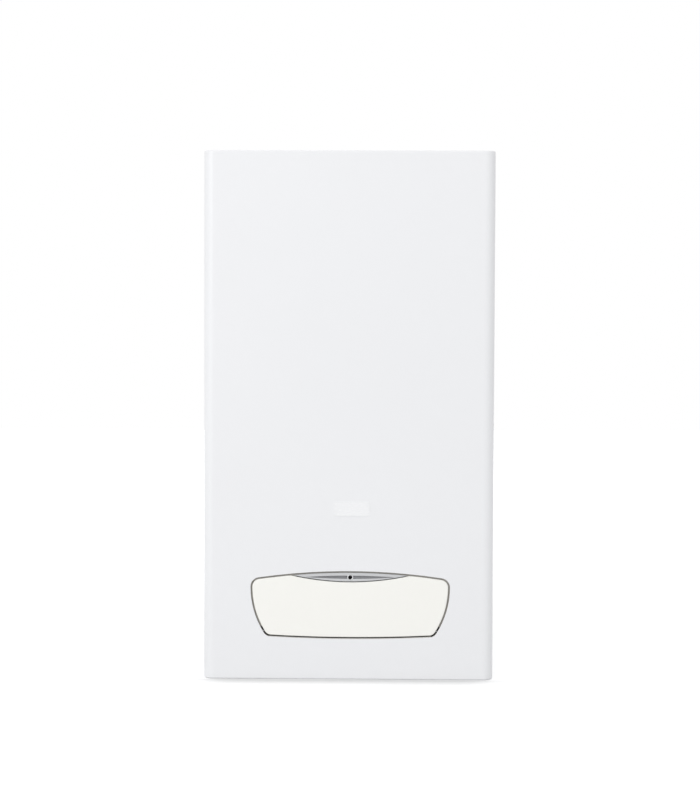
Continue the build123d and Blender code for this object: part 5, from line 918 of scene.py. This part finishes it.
# stop ledge behind the flap's edge and lip under it: the line runs from the right side to the middle as arcs
# of middle, radius, first and last angle, share of the points, and reach inward of the middle of the gap
edgeLook = {
    "x": 2.8, "steps": 72, "outward": 1.9, "soft": 0.3,
    "flapLedge": {"front": 307.6, "thick": 1.6, "finish": "ledgeGrey", "wallWay": -1, "arcs": [
        ((18.6, 130.0), 120.0, -27.8, 0.07, 0.30, 3.0), ((126.6, 130.13), 12.0, 0.07, 81.62, 0.25, 3.0),
        ((0.0, -729.6), 881.0, 81.62, 90.0, 0.45, 3.0)]},
    # the lip is a pale strip in the gap under the flap, and its pale grey is painted light in that shaded gap
    "flapLip": {"front": 309.6, "thick": 2.4, "finish": "lipPaintedLight", "wallWay": 1, "arcs": [
        ((110.9, 72.01), 11.0, -76.0, -87.1, 0.2, -0.6), ((0.0, 2258.2), 2200.0, -87.1, -90.0, 0.8, -0.6)]},
}


def edgePoint(look, arcs, share, outer):
    rounding = 0.000001
    for middle, radius, first, last, part, inward in arcs:
        if share <= part + rounding:
            angle = math.radians(first + (last - first) * share / part)
            reach = radius + (look["outward"] if outer else -inward)
            return Vector(middle) + Vector((math.cos(angle), math.sin(angle))) * reach
        share -= part


def makeEdge(look, name):
    shape = look[name]
    strip = addShape("grid", x_subdivisions=2 * look["steps"], y_subdivisions=1, size=2)
    settle(strip)
    for vertex in strip.data.vertices:
        side = 1 if vertex.co.x >= 0 else -1
        spot = edgePoint(look, shape["arcs"], 1 - abs(vertex.co.x), vertex.co.y > 0)
        vertex.co = place(look["x"] + side * spot.x, shape["front"], spot.y)
    thicken(strip, shape["thick"], shape["wallWay"])
    softenEdges(strip, look["soft"], 2)
    cleanShell(strip)
    finishPiece(strip, name, shape["finish"], "bezel_plastic")


# ribs inside the flap
ribLook = {
    "x": 2.8, "out": 307.3, "deep": 1.6, "wide": 1.5, "round": 0.35, "low": 74.0, "high": 116.0,
    "across": (-98, -70, -42, -14, 14, 42, 70, 98), "rails": (80.0, 108.0),
}


def makeFlapRibs(look):
    spot = (look["x"], look["out"], (look["low"] + look["high"]) / 2)
    rib = addBlock(spot, (look["wide"], look["deep"], look["high"] - look["low"]), look["round"])
    parts = [movedCopies(rib, [(step, 0, 0) for step in look["across"]])]
    length = look["across"][-1] - look["across"][0]
    for high in look["rails"]:
        size = (length, look["deep"], look["wide"])
        parts.append(addBlock((look["x"], look["out"], high), size, look["round"]))
    finishPiece(parts, "flapRibs", "flapCream", "flap_plastic", "flap_leaf")


makeTrim(trimLook)
for name in ("flapLedge", "flapLip"):
    makeEdge(edgeLook, name)
makeFlapRibs(ribLook)
print("stage 6: groove liner, lamp collar, flap ledge, lip and ribs")


# pan head screws with a cross: the outline is in shares of the radius and heights above the head's seat
screwLook = {
    "radius": 3.4, "foot": -0.6, "outline": [(1, -0.6), (1, 0.7), (0.9, 1.4), (0.6, 1.9)], "crown": 2.1,
    "crossHigh": 1.9, "crossReach": 1.15, "crossWide": 0.7, "crossDeep": 1.7,
}


def addScrew(look, spot, radius):
    x, out, high = spot
    sides = [(radius * share, rise) for share, rise in look["outline"]]
    head = addTurned(spot, "up", [(axisGap, look["foot"])] + sides + [(axisGap, look["crown"])], steps=20)
    reach, wide = radius * look["crossReach"], look["crossWide"]
    for across, deep in ((reach, wide), (wide, reach)):
        cutter = addBlock((x, out, high + look["crossHigh"]), (across, deep, look["crossDeep"]))
        cross = head.modifiers.new("cross", "BOOLEAN")
        cross.operation = "DIFFERENCE"
        cross.object = cutter
        applyAll(head)
        bpy.data.objects.remove(cutter)
    return head


# top: flue rings, screws and test points
topLook = {
    "flueOut": 174, "panel": 715, "flange": 716.5,
    "collarLip": [(46.6, 731.0), (48.6, 731.0), (48.6, 737.6), (48.0, 738.4), (47.0, 738.0), (46.4, 736.2),
                  (47.2, 734.6), (46.4, 733.0)],
    "flueBead": [(29.8, 724.0), (30.8, 724.5), (31.1, 725.5), (30.8, 726.5), (29.8, 727.0)],
    "flueGasket": [(59.0, 714.8), (61.6, 714.8), (61.9, 715.4), (61.6, 716.0), (59.9, 716.1), (59.0, 715.9)],
    "flueScrew": 2.8, "screwRing": 55, "screwTurns": (45, 135, 225, 315),
    "panelScrews": [(-186, 30), (-186, 160), (-186, 285), (186, 30), (186, 160), (186, 285), (-90, 292),
                    (90, 292)],
    "testPoints": (-84, 84), "cap": [(9, -0.5), (9, 1.5), (7.6, 2), (7.2, 7), (6.4, 8)],
    "grip": (1.4, 17.0, 6.4), "gripRise": 4.6, "gripRound": 0.4, "gripTurns": (0, 45, 90, 135),
}


def makeTop(look):
    spot = (0, look["flueOut"], 0)
    for name, finish, slot in (("collarLip", "sealFoam", "seal_rubber"), ("flueBead", "flueAlu", "flue_alu"),
                               ("flueGasket", "sealFoam", "seal_rubber")):
        finishPiece(addTurned(spot, "up", look[name], steps=72), name, finish, slot, smooth=50)
    screw = addScrew(screwLook, (look["screwRing"], look["flueOut"], look["flange"]), look["flueScrew"])
    finishPiece(turnedCopies(screw, spot, "up", look["screwTurns"]), "flueScrews", *zinc)
    screw = addScrew(screwLook, (0, 0, look["panel"]), screwLook["radius"])
    screws = movedCopies(screw, [(x, out, 0) for x, out in look["panelScrews"]])
    finishPiece(screws, "panelScrews", *zinc)
    caps = []
    first, last = look["cap"][0][1], look["cap"][-1][1]
    for x in look["testPoints"]:
        spot = (x, look["flueOut"], look["panel"])
        caps.append(addTurned(spot, "up", [(axisGap, first)] + look["cap"] + [(axisGap, last)], steps=32))
        middle = (x, look["flueOut"], look["panel"] + look["gripRise"])
        grip = addBlock(middle, look["grip"], look["gripRound"])
        caps.append(turnedCopies(grip, spot, "up", look["gripTurns"]))
    finishPiece(caps, "testPoints", "glandBlack", "gland_black")


# underneath: threads, nuts, gland ribs and tray screws
underLook = {
    "out": 95, "tails": [(-130, 13.2), (-65, 10.5), (0, 10.5), (65, 10.5), (130, 13.2)], "gas": 0,
    "threadLow": 9.0, "threadTurns": 7, "threadSteps": 28, "pitch": 1.8,
    "ridge": 0.75, "root": -0.25, "ridgeRise": 0.8,
    "nutLow": 37.5, "nutHigh": 44.9, "nutRim": 3.6, "nutFace": 1.2, "nutSoft": 0.6,
    "gland": (-174, 200), "glandRadius": 7.0, "glandLow": 30.6, "glandHigh": 38.6, "ribs": 18, "rib": 0.9,
    "ribRound": 0.2, "trayScrews": [(-90, 250), (90, 250), (-90, 40), (90, 40)], "trayBottom": 45.0,
}


def addThread(look, x, radius):
    # one ridge of a V thread, wound up the tail
    ridge = addShape("circle", vertices=3, radius=0.001, fill_type="NGON")
    corners = ((look["root"], 0), (look["ridge"], look["ridgeRise"]), (look["root"], 2 * look["ridgeRise"]))
    for vertex, (reach, rise) in zip(ridge.data.vertices, corners):
        vertex.co = ((radius + reach) / 1000, 0, rise / 1000)
    winding = ridge.modifiers.new("winding", "SCREW")
    winding.axis = "Z"
    winding.steps = winding.render_steps = look["threadSteps"]
    winding.iterations = look["threadTurns"]
    winding.screw_offset = look["pitch"] / 1000
    winding.use_merge_vertices = False
    applyAll(ridge)
    ridge.location = place(x, look["out"], look["threadLow"])
    settle(ridge)
    cleanShell(ridge)
    return ridge


def addNut(look, x, radius):
    low, high = look["nutLow"], look["nutHigh"]
    corner = (radius + look["nutRim"]) / math.cos(math.pi / 6)
    nut = addShape("cylinder", vertices=6, radius=corner / 1000, depth=(high - low) / 1000,
                   location=place(x, look["out"], (low + high) / 2))
    settle(nut)
    selectFaces(nut, lambda normal: abs(normal.z) > 0.9)
    bpy.ops.mesh.inset(thickness=(corner - radius - look["nutFace"]) / 1000)
    endEdit()
    softenEdges(nut, look["nutSoft"])
    return nut


def makeUnderside(look):
    brass = [addThread(look, x, radius) for x, radius in look["tails"] if x != look["gas"]]
    gas = [addThread(look, x, radius) for x, radius in look["tails"] if x == look["gas"]]
    finishPiece(brass, "tailThreads", "brassBody", "brass_body", smooth=25)
    finishPiece(gas, "gasThread", "copper", "copper", smooth=25)
    nuts = [addNut(look, x, radius) for x, radius in look["tails"]]
    finishPiece(nuts, "trayNuts", "nutBrass", "brass_body")
    (x, out), low, high = look["gland"], look["glandLow"], look["glandHigh"]
    spot = (x + look["glandRadius"], out, (low + high) / 2)
    rib = addBlock(spot, (look["rib"], look["rib"], high - low), look["ribRound"])
    turns = [360 * index / look["ribs"] for index in range(look["ribs"])]
    finishPiece(turnedCopies(rib, (x, out, 0), "up", turns), "glandRibs", "glandBlack", "gland_black")
    screw = addScrew(screwLook, (0, 0, 0), screwLook["radius"])
    screw.rotation_euler = (math.pi, 0, 0)       # head down, turned over at its seat
    screw.location = 2 * place(0, 0, 0)
    settle(screw)
    screws = movedCopies(screw, [(x, out, look["trayBottom"]) for x, out in look["trayScrews"]])
    finishPiece(screws, "trayScrews", *zinc)


# back: pressed beads and rivets
backLook = {
    "face": 12.0, "beads": (-150, -50, 50, 150), "beadLow": 110, "beadHigh": 590, "beadWide": 14,
    "beadDeep": 3.0, "beadOut": 0.2, "tips": (0.85, 0.6, 0.2), "tipStep": 3,
    "rivetSides": (-190, 190), "rivetHeights": (100, 300, 500, 640),
    "rivet": [(axisGap, 0.3), (3.2, 0.3), (3.2, -0.5), (2.6, -1.2), (1.2, -1.5), (axisGap, -1.5)],
}


def makeBack(look):
    wide, low, high = look["beadWide"], look["beadLow"], look["beadHigh"]
    out = look["face"] + look["beadOut"]
    bead = addShape("cylinder", vertices=24, radius=wide / 2000, depth=(high - low) / 1000,
                    location=place(0, out, (high + low) / 2))
    bead.scale = (1, 2 * look["beadDeep"] / wide, 1)
    settle(bead)
    for side in (-1, 1):                         # the ends run out to points
        selectFaces(bead, lambda normal: normal.z * side > 0.9)
        for shrink in look["tips"]:
            step = (0, 0, side * look["tipStep"] / 1000)
            bpy.ops.mesh.extrude_region_move(TRANSFORM_OT_translate={"value": step})
            bpy.ops.transform.resize(value=(shrink, shrink, 1), center_override=place(0, out, 0))
        endEdit()
    beads = movedCopies(bead, [(x, 0, 0) for x in look["beads"]])
    finishPiece(beads, "backBeads", "galvanised", "galvanised", smooth=50)
    rivet = addTurned((0, 0, 0), "out", look["rivet"], steps=20)
    spots = [(x, look["face"], high) for x in look["rivetSides"] for high in look["rivetHeights"]]
    finishPiece(movedCopies(rivet, spots), "backRivets", *zinc, smooth=40)


makeTop(topLook)
makeUnderside(underLook)
makeBack(backLook)
print("stage 7: flue rings, test points, threads, nuts, gland ribs, screws, beads and rivets")
